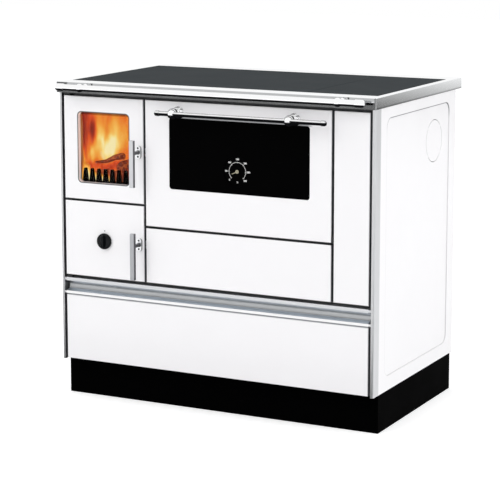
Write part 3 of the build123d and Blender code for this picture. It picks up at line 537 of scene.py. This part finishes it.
def hob_iron():
    """Ground cast iron, dark and matt, with faint grinding lines and pores."""
    made, s = material("hob_iron")
    cloud = s.noise(6.0, 4.0, 0.6)
    lines = s.noise(1.0, 3.0, 0.6, vector=s.point((8.0, 420.0, 420.0)))
    pores = s.noise(1300.0, 2.0, 0.7)
    tone = s.mix(cloud, rgb((0.038, 0.044, 0.047)), rgb((0.047, 0.054, 0.058)))
    tone = s.mix(s.span(lines, 0.35, 0.65, 0.0, 0.25), tone, rgb((0.032, 0.036, 0.039)))
    skin = s.bump(pores, 0.18, 0.0003, s.bump(lines, 0.05, 0.0003))
    s.surface(
        s.principled(
            Base_Color=tone,
            Roughness=s.span(cloud, 0.3, 0.7, 0.78, 0.9),
            Specular_IOR_Level=0.04,
            Normal=skin,
        )
    )
    return made


def black_iron():
    """Rough, sooty cast iron of the grate and the hob's crossbar."""
    made, s = material("grate_iron")
    sand = s.noise(520.0, 4.0, 0.7)
    soot = s.noise(22.0, 4.0, 0.6)
    tone = s.mix(soot, rgb((0.006, 0.006, 0.006)), rgb((0.035, 0.032, 0.030)))
    s.surface(
        s.principled(
            Base_Color=tone,
            Roughness=s.span(soot, 0.3, 0.7, 0.6, 0.9),
            Specular_IOR_Level=0.2,
            Normal=s.bump(sand, 0.5, 0.0006),
        )
    )
    return made


def fireclay():
    """Firebrick with grit, stains and soot that is thickest low down."""
    made, s = material("fireclay")
    grit = s.noise(260.0, 5.0, 0.7)
    stain = s.noise(14.0, 4.0, 0.6, 0.4)
    tone = s.mix(grit, rgb((0.52, 0.40, 0.27)), rgb((0.72, 0.62, 0.48)))
    low = s.span(s.axis("Z"), 0.56, 0.70, 0.75, 0.15)
    soot = s.math("MULTIPLY", low, s.span(stain, 0.3, 0.7, 0.4, 1.0))
    s.surface(
        s.principled(
            Base_Color=s.mix(soot, tone, rgb((0.06, 0.045, 0.035))),
            Roughness=0.92,
            Specular_IOR_Level=0.2,
            Normal=s.bump(grit, 0.5, 0.0012),
        )
    )
    return made


def glass_top_shade(s):
    """Painted shade along the top of the firebox glass."""
    return s.span(s.axis("Z"), 0.7500, 0.7545, 0.0, 1.0)


def glass(name, tint, soot=None):
    """Clear ceramic glass, faintly tinted and a little smoky; the soot argument masks painted
    shade, where it is darker.
    """
    made, s = material(name)
    haze = s.noise(11.0, 3.0, 0.6)
    colour = s.mix(haze, rgb(tint), rgb([c * 0.96 for c in tint]))
    # Painted shade where a mask is given.
    if soot:
        colour = s.mix(soot(s), colour, rgb((0.56, 0.57, 0.59)))
    clear = s.node("BsdfTransparent", {"Color": colour})
    gloss = s.node("BsdfGlossy", {"Color": WHITE, "Roughness": 0.03})
    facing = s.node("Fresnel", {"IOR": 1.10}).outputs[0]
    inputs = {0: facing, 1: clear.outputs[0], 2: gloss.outputs[0]}
    s.surface(s.node("MixShader", inputs).outputs[0])
    return made


def black_glass():
    """Opaque black oven glass with faint wipe marks in its gloss."""
    made, s = material("black_glass")
    marks = s.noise(16.0, 4.0, 0.6, 0.8)
    s.surface(
        s.principled(
            Base_Color=s.mix(
                marks, rgb((0.0003, 0.0003, 0.00035)), rgb((0.0007, 0.0007, 0.0008))
            ),
            Roughness=s.span(marks, 0.3, 0.7, 0.03, 0.08),
            Specular_IOR_Level=0.008,
        )
    )
    return made


def rope():
    """Woven glass rope."""
    made, s = material("woven_rope")
    yarn = s.noise(900.0, 3.0, 0.6)
    dirt = s.noise(30.0, 3.0)
    tone = s.mix(yarn, rgb((0.035, 0.034, 0.033)), rgb((0.15, 0.145, 0.14)))
    s.surface(
        s.principled(
            Base_Color=s.mix(s.span(dirt, 0.4, 0.7, 0.0, 0.5), tone, rgb((0.03, 0.028, 0.026))),
            Roughness=0.95,
            Sheen_Weight=0.2,
            Normal=s.bump(yarn, 0.6, 0.0005),
        )
    )
    return made


def gloss_black():
    """Moulded gloss plastic of the air knob."""
    made, s = material("knob_plastic")
    skin = s.noise(300.0, 2.0)
    wear = s.noise(60.0, 3.0)
    s.surface(
        s.principled(
            Base_Color=s.mix(wear, rgb((0.004, 0.005, 0.006)), rgb((0.007, 0.008, 0.009))),
            Roughness=s.span(wear, 0.3, 0.7, 0.12, 0.2),
            Specular_IOR_Level=0.12,
            Normal=s.bump(skin, 0.03, 0.0003),
        )
    )
    return made


def print_white():
    """Screen-printed dial marks."""
    made, s = material("dial_print")
    ink = s.noise(600.0, 2.0)
    s.surface(
        s.principled(
            Base_Color=s.mix(ink, rgb((0.80, 0.80, 0.79)), rgb((0.92, 0.92, 0.91))),
            Roughness=0.5,
            Normal=s.bump(ink, 0.05, 0.0001),
        )
    )
    return made


def brass():
    """Dull brass of the thermometer's needle and hub."""
    made, s = material("needle_brass")
    wear = s.noise(400.0, 3.0)
    s.surface(
        s.principled(
            Base_Color=s.mix(wear, rgb((0.30, 0.28, 0.20)), rgb((0.46, 0.43, 0.32))),
            Metallic=0.4,
            Roughness=s.span(wear, 0.3, 0.7, 0.25, 0.4),
        )
    )
    return made


BARK_GLOW = [
    (0.0, (0.17, 0.014, 0.006)),
    (0.5, (0.60, 0.07, 0.02)),
    (1.0, (1.0, 0.42, 0.08)),
]
EMBER_GLOW = [
    (0.35, (0.20, 0.012, 0.003)),
    (0.52, (1.0, 0.16, 0.02)),
    (0.70, (1.0, 0.62, 0.12)),
]
FIRE_COLOURS = [
    (0.0, (0.14, 0.018, 0.012)),
    (0.16, (0.34, 0.036, 0.020)),
    (0.34, (0.72, 0.085, 0.024)),
    (0.50, (0.86, 0.20, 0.030)),
    (0.64, (0.92, 0.36, 0.050)),
    (0.78, (0.97, 0.56, 0.12)),
    (0.90, (1.0, 0.78, 0.26)),
    (1.0, (1.0, 0.90, 0.50)),
]


def bark():
    """Charred bark with glowing cracks."""
    made, s = material("charred_bark")
    fibre = s.noise(90.0, 5.0, 0.7, 0.5)
    crack = s.cracks(70.0)
    tone = s.mix(fibre, rgb((0.030, 0.010, 0.006)), rgb((0.10, 0.034, 0.016)))
    open_crack = s.span(crack, 0.0, 0.12, 1.0, 0.0)
    heat = s.math("MULTIPLY", open_crack, s.span(fibre, 0.35, 0.6, 0.2, 1.0))
    glow = s.ramp(heat, BARK_GLOW)
    s.surface(
        s.principled(
            Base_Color=tone,
            Roughness=0.9,
            Emission_Color=glow,
            Emission_Strength=0.55,
            Normal=s.bump(fibre, 0.7, 0.003),
        )
    )
    return made


def ember():
    """Burning charcoal with brighter and duller patches."""
    made, s = material("burning_embers")
    lumps = s.noise(110.0, 4.0, 0.6)
    heat = s.ramp(lumps, EMBER_GLOW)
    s.surface(
        s.principled(
            Base_Color=rgb((0.08, 0.04, 0.03)),
            Roughness=0.9,
            Emission_Color=heat,
            Emission_Strength=1.1,
            Normal=s.bump(lumps, 0.6, 0.003),
        )
    )
    return made


def blaze(name, core, lift, streaks, fade=None):
    """Glowing gas, hottest round its cores and drawn up into streaks.

    Each core is a centre, a reach and a strength. fade gives the heats between which the gas goes
    from clear to solid, and None leaves all of it solid. The sheet clears at its top in any case.
    """
    made, s = material(name)
    bent = s.warped((38.0, 38.0, 16.0), (0.030, 0.0, 0.026))
    drawn = s.node("Mapping", {"Vector": bent, "Scale": (55.0, 55.0, 13.0)}).outputs[0]
    licks = s.noise(1.0, 5.0, 0.60, vector=drawn)
    heat = s.math("ADD", lift, s.span(licks, 0.28, 0.72, -streaks, streaks))
    for centre, reach, strength in core:
        near = s.field(centre, reach, bent)
        soft = s.node("MapRange", {"Value": near}, interpolation_type="SMOOTHSTEP").outputs[0]
        heat = s.math("ADD", heat, s.math("MULTIPLY", soft, strength))
    glow = s.node("Emission", {"Color": s.ramp(heat, FIRE_COLOURS), "Strength": 1.0})
    top = s.span(s.axis("Z"), 0.745, 0.792, 1.0, 0.0)
    solid = s.math("MULTIPLY", top, s.span(heat, *fade, 0.0, 1.0)) if fade else top
    clear = s.node("BsdfTransparent")
    s.surface(s.node("MixShader", {0: solid, 1: clear.outputs[0], 2: glow.outputs[0]}).outputs[0])
    return made


hob_material = hob_iron()
grate_material = black_iron()
brick_material = fireclay()
clear_glass = glass("clear_glass", (0.97, 0.95, 0.93), glass_top_shade)
inner_glass = glass("inner_glass", (0.9, 0.9, 0.9))
oven_black = black_glass()
rope_material = rope()
knob_material = gloss_black()
print_material = print_white()
needle_material = brass()
bark_material = bark()
ember_material = ember()
node_materials = {
    white_front: (
        "side_filler",
        "lower_cover",
        "drawer_front",
    ),
    white_window: ("firebox_door_panel",),
    white_ash: ("ash_door_panel",),
    white_oven: ("oven_door_panel",),
    white_side: ("side_panel_left", "side_panel_right"),
    chrome: ("oven_rack",),
    rail_chrome: ("towel_rail",),
    rail_post_chrome: ("rail_posts",),
    handle_chrome: ("oven_handle_bar",),
    handle_post_chrome: ("oven_handle_posts",),
    frame_steel: ("top_frame",),
    profile_metal: ("corner_profile_left", "corner_profile_right"),
    grip_metal: ("drawer_grip",),
    lever_metal: ("firebox_handle", "ash_handle"),
    latch_metal: ("firebox_latch_plate", "ash_latch_plate", "latch_keepers"),
    zinc: (
        "base_plate",
        "back_panel",
        "back_panel_screws",
        "drawer_ceiling",
        "firebox_door_liner",
        "ash_door_liner",
        "oven_door_liner",
        "drawer_box",
        "drawer_runners",
        "soot_hatch",
        "levelling_feet",
        "air_disc",
    ),
    black_plinth: ("plinth",),
    frame_grey: ("face_frame",),
    dark_sheet: (
        "door_hinge_brackets",
        "firebox_shell",
        "ash_box",
        "ash_pan",
        "smoke_box",
        "flue_collar",
    ),
    black_enamel: ("oven_box", "baking_tray"),
    dial_black: ("thermometer_dial",),
    fender_black: ("log_fender",),
    hob_material: ("hob_plate_main", "hob_plate_side"),
    grate_material: ("grate", "hob_crossbar"),
    brick_material: ("firebricks",),
    clear_glass: ("firebox_glass",),
    inner_glass: ("oven_inner_glass",),
    oven_black: ("oven_glass",),
    rope_material: ("firebox_door_seal", "ash_door_seal", "oven_door_seal"),
    knob_material: ("air_knob",),
    needle_material: ("thermometer_needle",),
    bark_material: ("firewood_logs",),
}
for node_material, names in node_materials.items():
    for node_name in names:
        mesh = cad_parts[node_name].data
        mesh.materials.clear()
        mesh.materials.append(node_material)


# ---------------------------------------------------------------- mesh helpers
def piece(name, points, faces, surface, body, smooth=True, replaces=()):
    """Mesh piece from points in metres, riding on a body."""
    mesh = bpy.data.meshes.new(name)
    mesh.from_pydata([tuple(p) for p in points], [], faces)
    mesh.materials.append(surface)
    mesh.polygons.foreach_set("use_smooth", [smooth] * len(mesh.polygons))
    mesh.validate()
    fixed = bmesh.new()
    fixed.from_mesh(mesh)
    bmesh.ops.recalc_face_normals(fixed, faces=fixed.faces)
    fixed.to_mesh(mesh)
    fixed.free()
    made = bpy.data.objects.new(name, mesh)
    bpy.context.scene.collection.objects.link(made)
    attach(made, body)
    if replaces:
        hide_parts(*replaces)
    return made


def joined(parts):
    """Points and faces of several meshes, as one mesh."""
    points, faces = [], []
    for part_points, part_faces in parts:
        shift = len(points)
        points += part_points
        faces += [tuple(i + shift for i in face) for face in part_faces]
    return points, faces


def rings_mesh(rings, loop=False):
    """Points and faces of a skin over rings of points, each with the same count.

    A loop joins its last ring to its first, and otherwise both ends are closed.
    """
    count = len(rings[0])
    points = [p for ring in rings for p in ring]
    faces = []
    steps = len(rings) if loop else len(rings) - 1
    for i in range(steps):
        here, after = i * count, ((i + 1) % len(rings)) * count
        for k in range(count):
            after_k = (k + 1) % count
            faces.append((here + k, here + after_k, after + after_k, after + k))
    if not loop:
        faces.append(tuple(reversed(range(count))))
        faces.append(tuple(range(len(points) - count, len(points))))
    return points, faces


# ---------------------------------------------------------------- rope seals
def rounded_path(x, z, radius, step):
    """Points and outward normals round an upright rectangle with rounded corners, in x and z."""
    path, corner_steps = [], 8
    corners = (
        (x[1] - radius, z[0] + radius, -90),
        (x[1] - radius, z[1] - radius, 0),
        (x[0] + radius, z[1] - radius, 90),
        (x[0] + radius, z[0] + radius, 180),
    )
    for i, (cx, cz, start) in enumerate(corners):
        for k in range(corner_steps + 1):
            turn = math.radians(start + 90 * k / corner_steps)
            normal = (math.cos(turn), math.sin(turn))
            path.append(((cx + radius * normal[0], cz + radius * normal[1]), normal))
        nx, nz, next_start = corners[(i + 1) % 4]
        turn = math.radians(next_start)
        target = (nx + radius * math.cos(turn), nz + radius * math.sin(turn))
        last, normal = path[-1]
        gap = math.dist(last, target)
        for k in range(1, int(gap / step)):
            t = k * step / gap
            point = [a + (b - a) * t for a, b in zip(last, target)]
            path.append((point, normal))
    return path


def rope_seal(name, body, x, z, replaced):
    """Braided rope pressed slightly flat, round a door's back; x and z are the door's edges."""
    inset, half_width, half_depth, middle = 12.5, 4.5, 2.75, 22.75
    corner_radius, step, around = 10.0, 1.7, 18
    rope_x, rope_z = (x[0] + inset, x[1] - inset), (z[0] + inset, z[1] - inset)
    path = rounded_path(rope_x, rope_z, corner_radius, step)
    rings, run, last = [], 0.0, None
    for (px, pz), (nx, nz) in path:
        if last:
            run += math.dist(last, (px, pz))
        last = (px, pz)
        ring = []
        for k in range(around):
            turn = 2 * math.pi * k / around
            braid = math.sin(3 * turn + run * 0.75) * math.sin(3 * turn - run * 0.75)
            swell = 0.93 + 0.07 * braid
            out = half_width * swell * math.cos(turn)
            back = half_depth * swell * math.sin(turn)
            ring.append(place(px + nx * out, middle + back, pz + nz * out))
        rings.append(ring)
    points, faces = rings_mesh(rings, loop=True)
    piece(name, points, faces, rope_material, body, replaces=(replaced,))


rope_seal("firebox_rope", "firebox_door", LEFT_DOOR_X, FIREBOX_DOOR_Z, "firebox_door_seal")
rope_seal("ash_rope", "ash_door", LEFT_DOOR_X, ASH_DOOR_Z, "ash_door_seal")
rope_seal("oven_rope", "oven_door", OVEN_DOOR_X, OVEN_DOOR_Z, "oven_door_seal")


# ---------------------------------------------------------------- air knob
KNOB_PROFILE = (
    (23.0, 3.8),
    (-0.2, 3.8),
    (-0.6, 4.2),
    (-0.6, 20.2),
    (-1.2, 20.9),
    (-3.0, 21.0),
    (-6.0, 20.6),
    (-7.6, 19.6),
    (-8.3, 17.6),
    (-8.6, 14.0),
    (-8.7, 8.0),
    (-8.7, 3.0),
)


def knob_ring(half_x, depth, half_z, count, power=1.0):
    """Ring round the knob's axis; a power below 1 squares it off."""
    ring = []
    for k in range(count):
        turn = 2 * math.pi * k / count
        across, up = math.cos(turn), math.sin(turn)
        across = math.copysign(abs(across) ** power, across)
        up = math.copysign(abs(up) ** power, up)
        ring.append(place(KNOB_X + across * half_x, depth, KNOB_Z + up * half_z))
    return ring


def knob():
    """Turned disc with a waisted grip across it, and the spindle through the door."""
    disc = [knob_ring(radius, depth, radius, 64) for depth, radius in KNOB_PROFILE]
    grip, steps = [], 8
    for step in range(steps + 1):
        share = step / steps
        depth = -7.6 - 10.0 * share
        half_long = 16.9 - 1.2 * share**3
        half_thick = 4.4 - 1.0 * math.sin(math.pi * min(1.0, share * 1.15)) ** 2
        if step == steps:
            depth, half_long, half_thick = -18.0, half_long - 1.6, half_thick - 1.4
        grip.append(knob_ring(half_thick, depth, half_long, 40, 0.45))
    points, faces = joined([rings_mesh(disc), rings_mesh(grip)])
    piece(
        "air_knob_grip",
        points,
        faces,
        knob_material,
        "air_control",
        replaces=("air_knob",),
    )


knob()


# ---------------------------------------------------------------- printed dial
SCALE_START, SCALE_SWEEP = 225, 270
TICKS, NUMBERS = 30, 6


def text_mesh(words, size):
    """Flat mesh of some text, centred on the origin, in millimetres of the x-z plane."""
    curve = bpy.data.curves.new("words", "FONT")
    curve.body, curve.size = words, size
    curve.align_x, curve.align_y = "CENTER", "CENTER"
    curve.resolution_u = 3
    curve.offset = 0.035 * size
    made = bpy.data.objects.new("words", curve)
    bpy.context.scene.collection.objects.link(made)
    depsgraph = bpy.context.evaluated_depsgraph_get()
    mesh = bpy.data.meshes.new_from_object(made.evaluated_get(depsgraph))
    points = [(v.co.x, v.co.y) for v in mesh.vertices]
    faces = [tuple(p.vertices) for p in mesh.polygons]
    bpy.data.objects.remove(made)
    bpy.data.curves.remove(curve)
    bpy.data.meshes.remove(mesh)
    return points, faces


def dial_print():
    """Arc, ticks and numbers of the thermometer, from 0 to 300."""
    print_depth, points, faces = 3.3, [], []
    arc_steps, arc_inner, arc_outer = 90, 23.2, 23.9
    number_radius, number_size, unit_drop, unit_size = 31.0, 6.0, 27.0, 4.6

    def add(flat_points, flat_faces):
        shift = len(points)
        points.extend(place(x, print_depth, z) for x, z in flat_points)
        faces.extend(tuple(i + shift for i in face) for face in flat_faces)

    def polar(radius, degrees):
        turn = math.radians(degrees)
        return (DIAL_X + radius * math.cos(turn), DIAL_Z + radius * math.sin(turn))

    def bar(inner, outer, start, end):
        corners = ((inner, start), (outer, start), (outer, end), (inner, end))
        add([polar(radius, degrees) for radius, degrees in corners], [(0, 1, 2, 3)])

    def words(text, size, x, z):
        flat_points, flat_faces = text_mesh(text, size)
        add([(px + x, pz + z) for px, pz in flat_points], flat_faces)

    for i in range(arc_steps):
        start, end = (SCALE_START - SCALE_SWEEP * k / arc_steps for k in (i, i + 1))
        bar(arc_inner, arc_outer, start, end)
    for tick in range(TICKS + 1):
        degrees = SCALE_START - SCALE_SWEEP * tick / TICKS
        inner, outer, half = (21.2, 24.8, 1.0) if tick % 5 == 0 else (22.2, 23.4, 0.6)
        bar(inner, outer, degrees - half, degrees + half)
    for i in range(NUMBERS + 1):
        x, z = polar(number_radius, SCALE_START - SCALE_SWEEP * i / NUMBERS)
        words(str(50 * i), number_size, x, z)
    words("°C", unit_size, DIAL_X, DIAL_Z - unit_drop)
    piece("dial_print", points, faces, print_material, "oven_door", smooth=False)


dial_print()


# ---------------------------------------------------------------- fire
def log(path, radii, seed):
    """Charred log along a path of (x, depth, z) points, with ridged bark and rough ends."""
    spine = [place(*point) for point in path]
    around, steps, rings = 36, 34, []
    for i in range(steps + 1):
        t = i / steps
        at = t * (len(spine) - 1)
        leg = min(int(at), len(spine) - 2)
        centre = spine[leg].lerp(spine[leg + 1], at - leg)
        along = (spine[-1] - spine[0]).normalized()
        side_axis = along.cross(Vector((0, 0, 1))).normalized()
        up_axis = side_axis.cross(along)
        radius = radii[0] + (radii[1] - radii[0]) * t
        ring = []
        for k in range(around):
            turn = 2 * math.pi * k / around
            probe = Vector((3 * math.cos(turn), 3 * math.sin(turn), 5 * t + seed * 7.3))
            ridge = abs(math.sin(5.5 * turn + 2 * noise.noise(probe)))
            bulge = 0.84 + 0.12 * noise.noise(probe * 0.7)
            bulge = bulge + 0.05 * ridge + 0.05 * noise.noise(probe * 4)
            if 1.9 < (turn + seed) % (2 * math.pi) < 3.0:
                bulge *= 0.86
            reach = radius * MM * bulge
            if i in (0, steps):
                reach *= 0.80
            ring.append(centre + reach * (math.cos(turn) * side_axis + math.sin(turn) * up_axis))
        rings.append(ring)
    return rings_mesh(rings)


def burning_logs():
    """Four logs laid front to back, and a bent branch across them."""
    front, back = 52, 330
    laid = ((-374, 579, 22), (-322, 579, 22), (-264, 579, 22), (-293, 610.5, 20))
    branch = [(-378, 66, 619), (-345, 66, 624), (-318, 66, 636), (-291, 66, 641)]
    parts = []
    for seed, (x, z, radius) in enumerate(laid, 1):
        parts.append(log([(x, front, z), (x, back, z)], (radius, radius), seed))
    parts.append(log(branch, (3.5, 10.5), len(laid) + 1))
    points, faces = joined(parts)
    piece(
        "burning_logs",
        points,
        faces,
        bark_material,
        "stove_body",
        replaces=("firewood_logs",),
    )


burning_logs()


def ember_bed():
    """Heap of burning charcoal lumps on the grate."""
    parts, lumps, grate_top = [], 70, 557
    for i in range(lumps):
        probe = Vector((i * 1.37, 4.1, 7.7))
        x = -314 + 68 * noise.noise(probe) * 1.9
        depth = 190 + 150 * noise.noise(probe + Vector((5, 0, 3))) * 1.7
        x, depth = max(-376, min(-252, x)), max(70, min(400, depth))
        size = 9 + 5 * noise.noise(probe + Vector((0, 9, 0)))
        z = grate_top + size * 0.8
        made = bmesh.new()
        bmesh.ops.create_icosphere(made, subdivisions=2, radius=size * MM)
        for vertex in made.verts:
            vertex.co *= 1 + 0.35 * noise.noise(vertex.co * 140 + probe * 3)
            vertex.co.z *= 0.75
            vertex.co += place(x, depth, z)
        made.verts.index_update()
        lump_faces = [tuple(v.index for v in f.verts) for f in made.faces]
        parts.append(([v.co.copy() for v in made.verts], lump_faces))
        made.free()
    points, faces = joined(parts)
    piece("ember_bed", points, faces, ember_material, "stove_body", smooth=False)


ember_bed()


def curtain(name, surface, route, z, wave):
    """Wavy upright sheet of flame along a route of (x, depth) points."""
    rows, points, faces = 40, [], []
    for row in range(rows + 1):
        height = z[0] + (z[1] - z[0]) * row / rows
        for x, depth in route:
            ripple = noise.noise(Vector((x / 24, depth / 24, height / 60)))
            points.append(place(x, depth + wave * ripple, height))
    columns = len(route)
    for row in range(rows):
        for k in range(columns - 1):
            here = row * columns + k
            faces.append((here, here + 1, here + columns + 1, here + columns))
    made = piece(name, points, faces, surface, "stove_body")
    made.visible_shadow = False


def straight(x, depth):
    """Route across the firebox at one depth."""
    count = 50
    return [(x[0] + (x[1] - x[0]) * i / (count - 1), depth) for i in range(count)]


def hearth_route(half, front, back):
    """Route back along the left wall, across the back and forward along the right wall."""
    route, count = [], 90
    for i in range(count):
        turn = math.pi * i / (count - 1)
        across = -math.copysign(abs(math.cos(turn)) ** 0.5, math.cos(turn))
        route.append((FIRE_X + half * across, front + (back - front) * math.sin(turn) ** 0.5))
    return route


glow_sheet = blaze(
    "fire_glow",
    [
        ((-378, 120, 647), (40, 0, 52), 0.46),
        ((-391, 113, 685), (15, 0, 46), 0.26),
        ((-352, 125, 676), (34, 0, 64), 0.30),
        ((-322, 125, 640), (26, 0, 50), -0.16),
        ((-350, 125, 775), (130, 0, 70), -0.14),
        ((-405, 52, 700), (16, 62, 170), -0.40),
        ((-402, 92, 700), (12, 22, 56), -0.46),
        ((-405, 47, 598), (30, 34, 46), 0.55),
        ((-372, 118, 604), (70, 0, 24), -0.34),
    ],
    lift=0.56,
    streaks=0.11,
)
flame_sheet = blaze(
    "fire_flames",
    [((-370, 92, 636), (32, 0, 60), 0.74)],
    lift=0.27,
    streaks=0.16,
    fade=(0.95, 1.2),
)
lick_sheet = blaze(
    "fire_licks",
    [((-352, 45, 572), (74, 0, 40), 0.95), ((-400, 45, 590), (24, 0, 48), 0.8)],
    lift=0.24,
    streaks=0.16,
    fade=(0.42, 0.70),
)
curtain("flames_back", glow_sheet, hearth_route(85, 47, 125), (557, 796), 7.0)
curtain("flames_middle", flame_sheet, straight((-407, -236), 92), (590, 760), 12.0)
curtain("flames_front", lick_sheet, straight((-407, -234), 45.5), (557, 640), 2.0)


def fire_lamp(name, place_mm, watts, size):
    """Small orange lamp in the fire, seen only by what it lights."""
    lamp = bpy.data.lights.new(name, "POINT")
    lamp.energy = watts
    lamp.color = (1.0, 0.30, 0.06)
    lamp.shadow_soft_size = size
    made = bpy.data.objects.new(name, lamp)
    made.location = place(*place_mm)
    made.visible_camera = False
    made.visible_glossy = False
    bpy.context.scene.collection.objects.link(made)


fire_lamp("lamp_in_mouth", (-300, 34, 700), 0.02, 0.012)
fire_lamp("lamp_in_fire", (-320, 230, 690), 1.2, 0.03)


# ---------------------------------------------------------------- floor, world and lamps
def ray_kinds(s):
    """1 for rays from the camera, from gloss and through glass."""
    path = s.node("LightPath")
    both = s.math("MAXIMUM", path.outputs["Is Camera Ray"], path.outputs["Is Glossy Ray"])
    return s.math("MAXIMUM", both, path.outputs["Is Transmission Ray"])


def flat_card(name, x, y, z, surface):
    """Level rectangle of the studio, in metres."""
    mesh = bpy.data.meshes.new(name)
    corners = [(x[0], y[0], z), (x[1], y[0], z), (x[1], y[1], z), (x[0], y[1], z)]
    mesh.from_pydata(corners, [], [(0, 1, 2, 3)])
    mesh.materials.append(surface)
    made = bpy.data.objects.new(name, mesh)
    bpy.context.scene.collection.objects.link(made)
    return made


def pale_floor():
    """Pale floor just below the plinth, lifted towards white where the camera or gloss sees it."""
    half, height = 14.0, -0.0005
    surface, s = material("pale_floor")
    lit = s.node("BsdfDiffuse", {"Color": rgb((0.88, 0.88, 0.88))})
    strength = s.math("MULTIPLY", ray_kinds(s), 0.45)
    fill = s.node("Emission", {"Color": WHITE, "Strength": strength})
    s.surface(s.node("AddShader", {0: lit.outputs[0], 1: fill.outputs[0]}).outputs[0])
    floor = flat_card("floor", (-half, half), (-half, half), height, surface)


def studio_world():
    """Soft light from all round, with a white background for the camera and for gloss."""
    world = bpy.data.worlds.new("studio")
    bpy.context.scene.world = world
    s = Shader(world)
    ambient = s.node("Background", {"Color": rgb((0.985, 0.99, 1.0)), "Strength": 0.772})
    backdrop = s.node("Background", {"Color": WHITE, "Strength": 1.0})
    inputs = {0: ray_kinds(s), 1: ambient.outputs[0], 2: backdrop.outputs[0]}
    s.node("OutputWorld", {"Surface": s.node("MixShader", inputs).outputs[0]})


def floor_card(name, x, y, near, far):
    """Card on the floor that only gloss sees; its tone runs from near to far along y."""
    surface, s = material(name)
    tone = s.span(s.axis("Y"), *y, near, far)
    s.surface(s.node("Emission", {"Color": WHITE, "Strength": tone}).outputs[0])
    made = flat_card(name, x, y, MM, surface)
    made.visible_camera = False
    made.visible_diffuse = False
    made.visible_transmission = False
    made.visible_shadow = False


pale_floor()
studio_world()
floor_card("front_card", (-6.0, 2.0), (-0.85, -0.32), 0.0, 0.0)
floor_card("far_front_card", (-8.0, 2.0), (-9.0, -6.0), 0.22, 0.22)
floor_card("right_card", (1.4, 7.0), (5.7, 8.6), 0.0, 1.05)


def softbox(name, location, size, energy):
    """Soft area lamp aimed at the middle of the stove, unseen by gloss."""
    lamp = bpy.data.lights.new(name, "AREA")
    lamp.shape, lamp.size, lamp.size_y = "RECTANGLE", size[0], size[1]
    lamp.energy = energy
    made = bpy.data.objects.new(name, lamp)
    made.location = location
    aim = Vector((0.0, 0.0, 0.45)) - Vector(location)
    made.rotation_euler = aim.to_track_quat("-Z", "Y").to_euler()
    made.visible_glossy = False
    bpy.context.scene.collection.objects.link(made)


softbox("key_softbox", (-2.4, -4.2, 3.4), (3.0, 3.0), 78.0)
softbox("side_softbox", (4.6, -0.8, 2.6), (2.6, 2.6), 58.0)
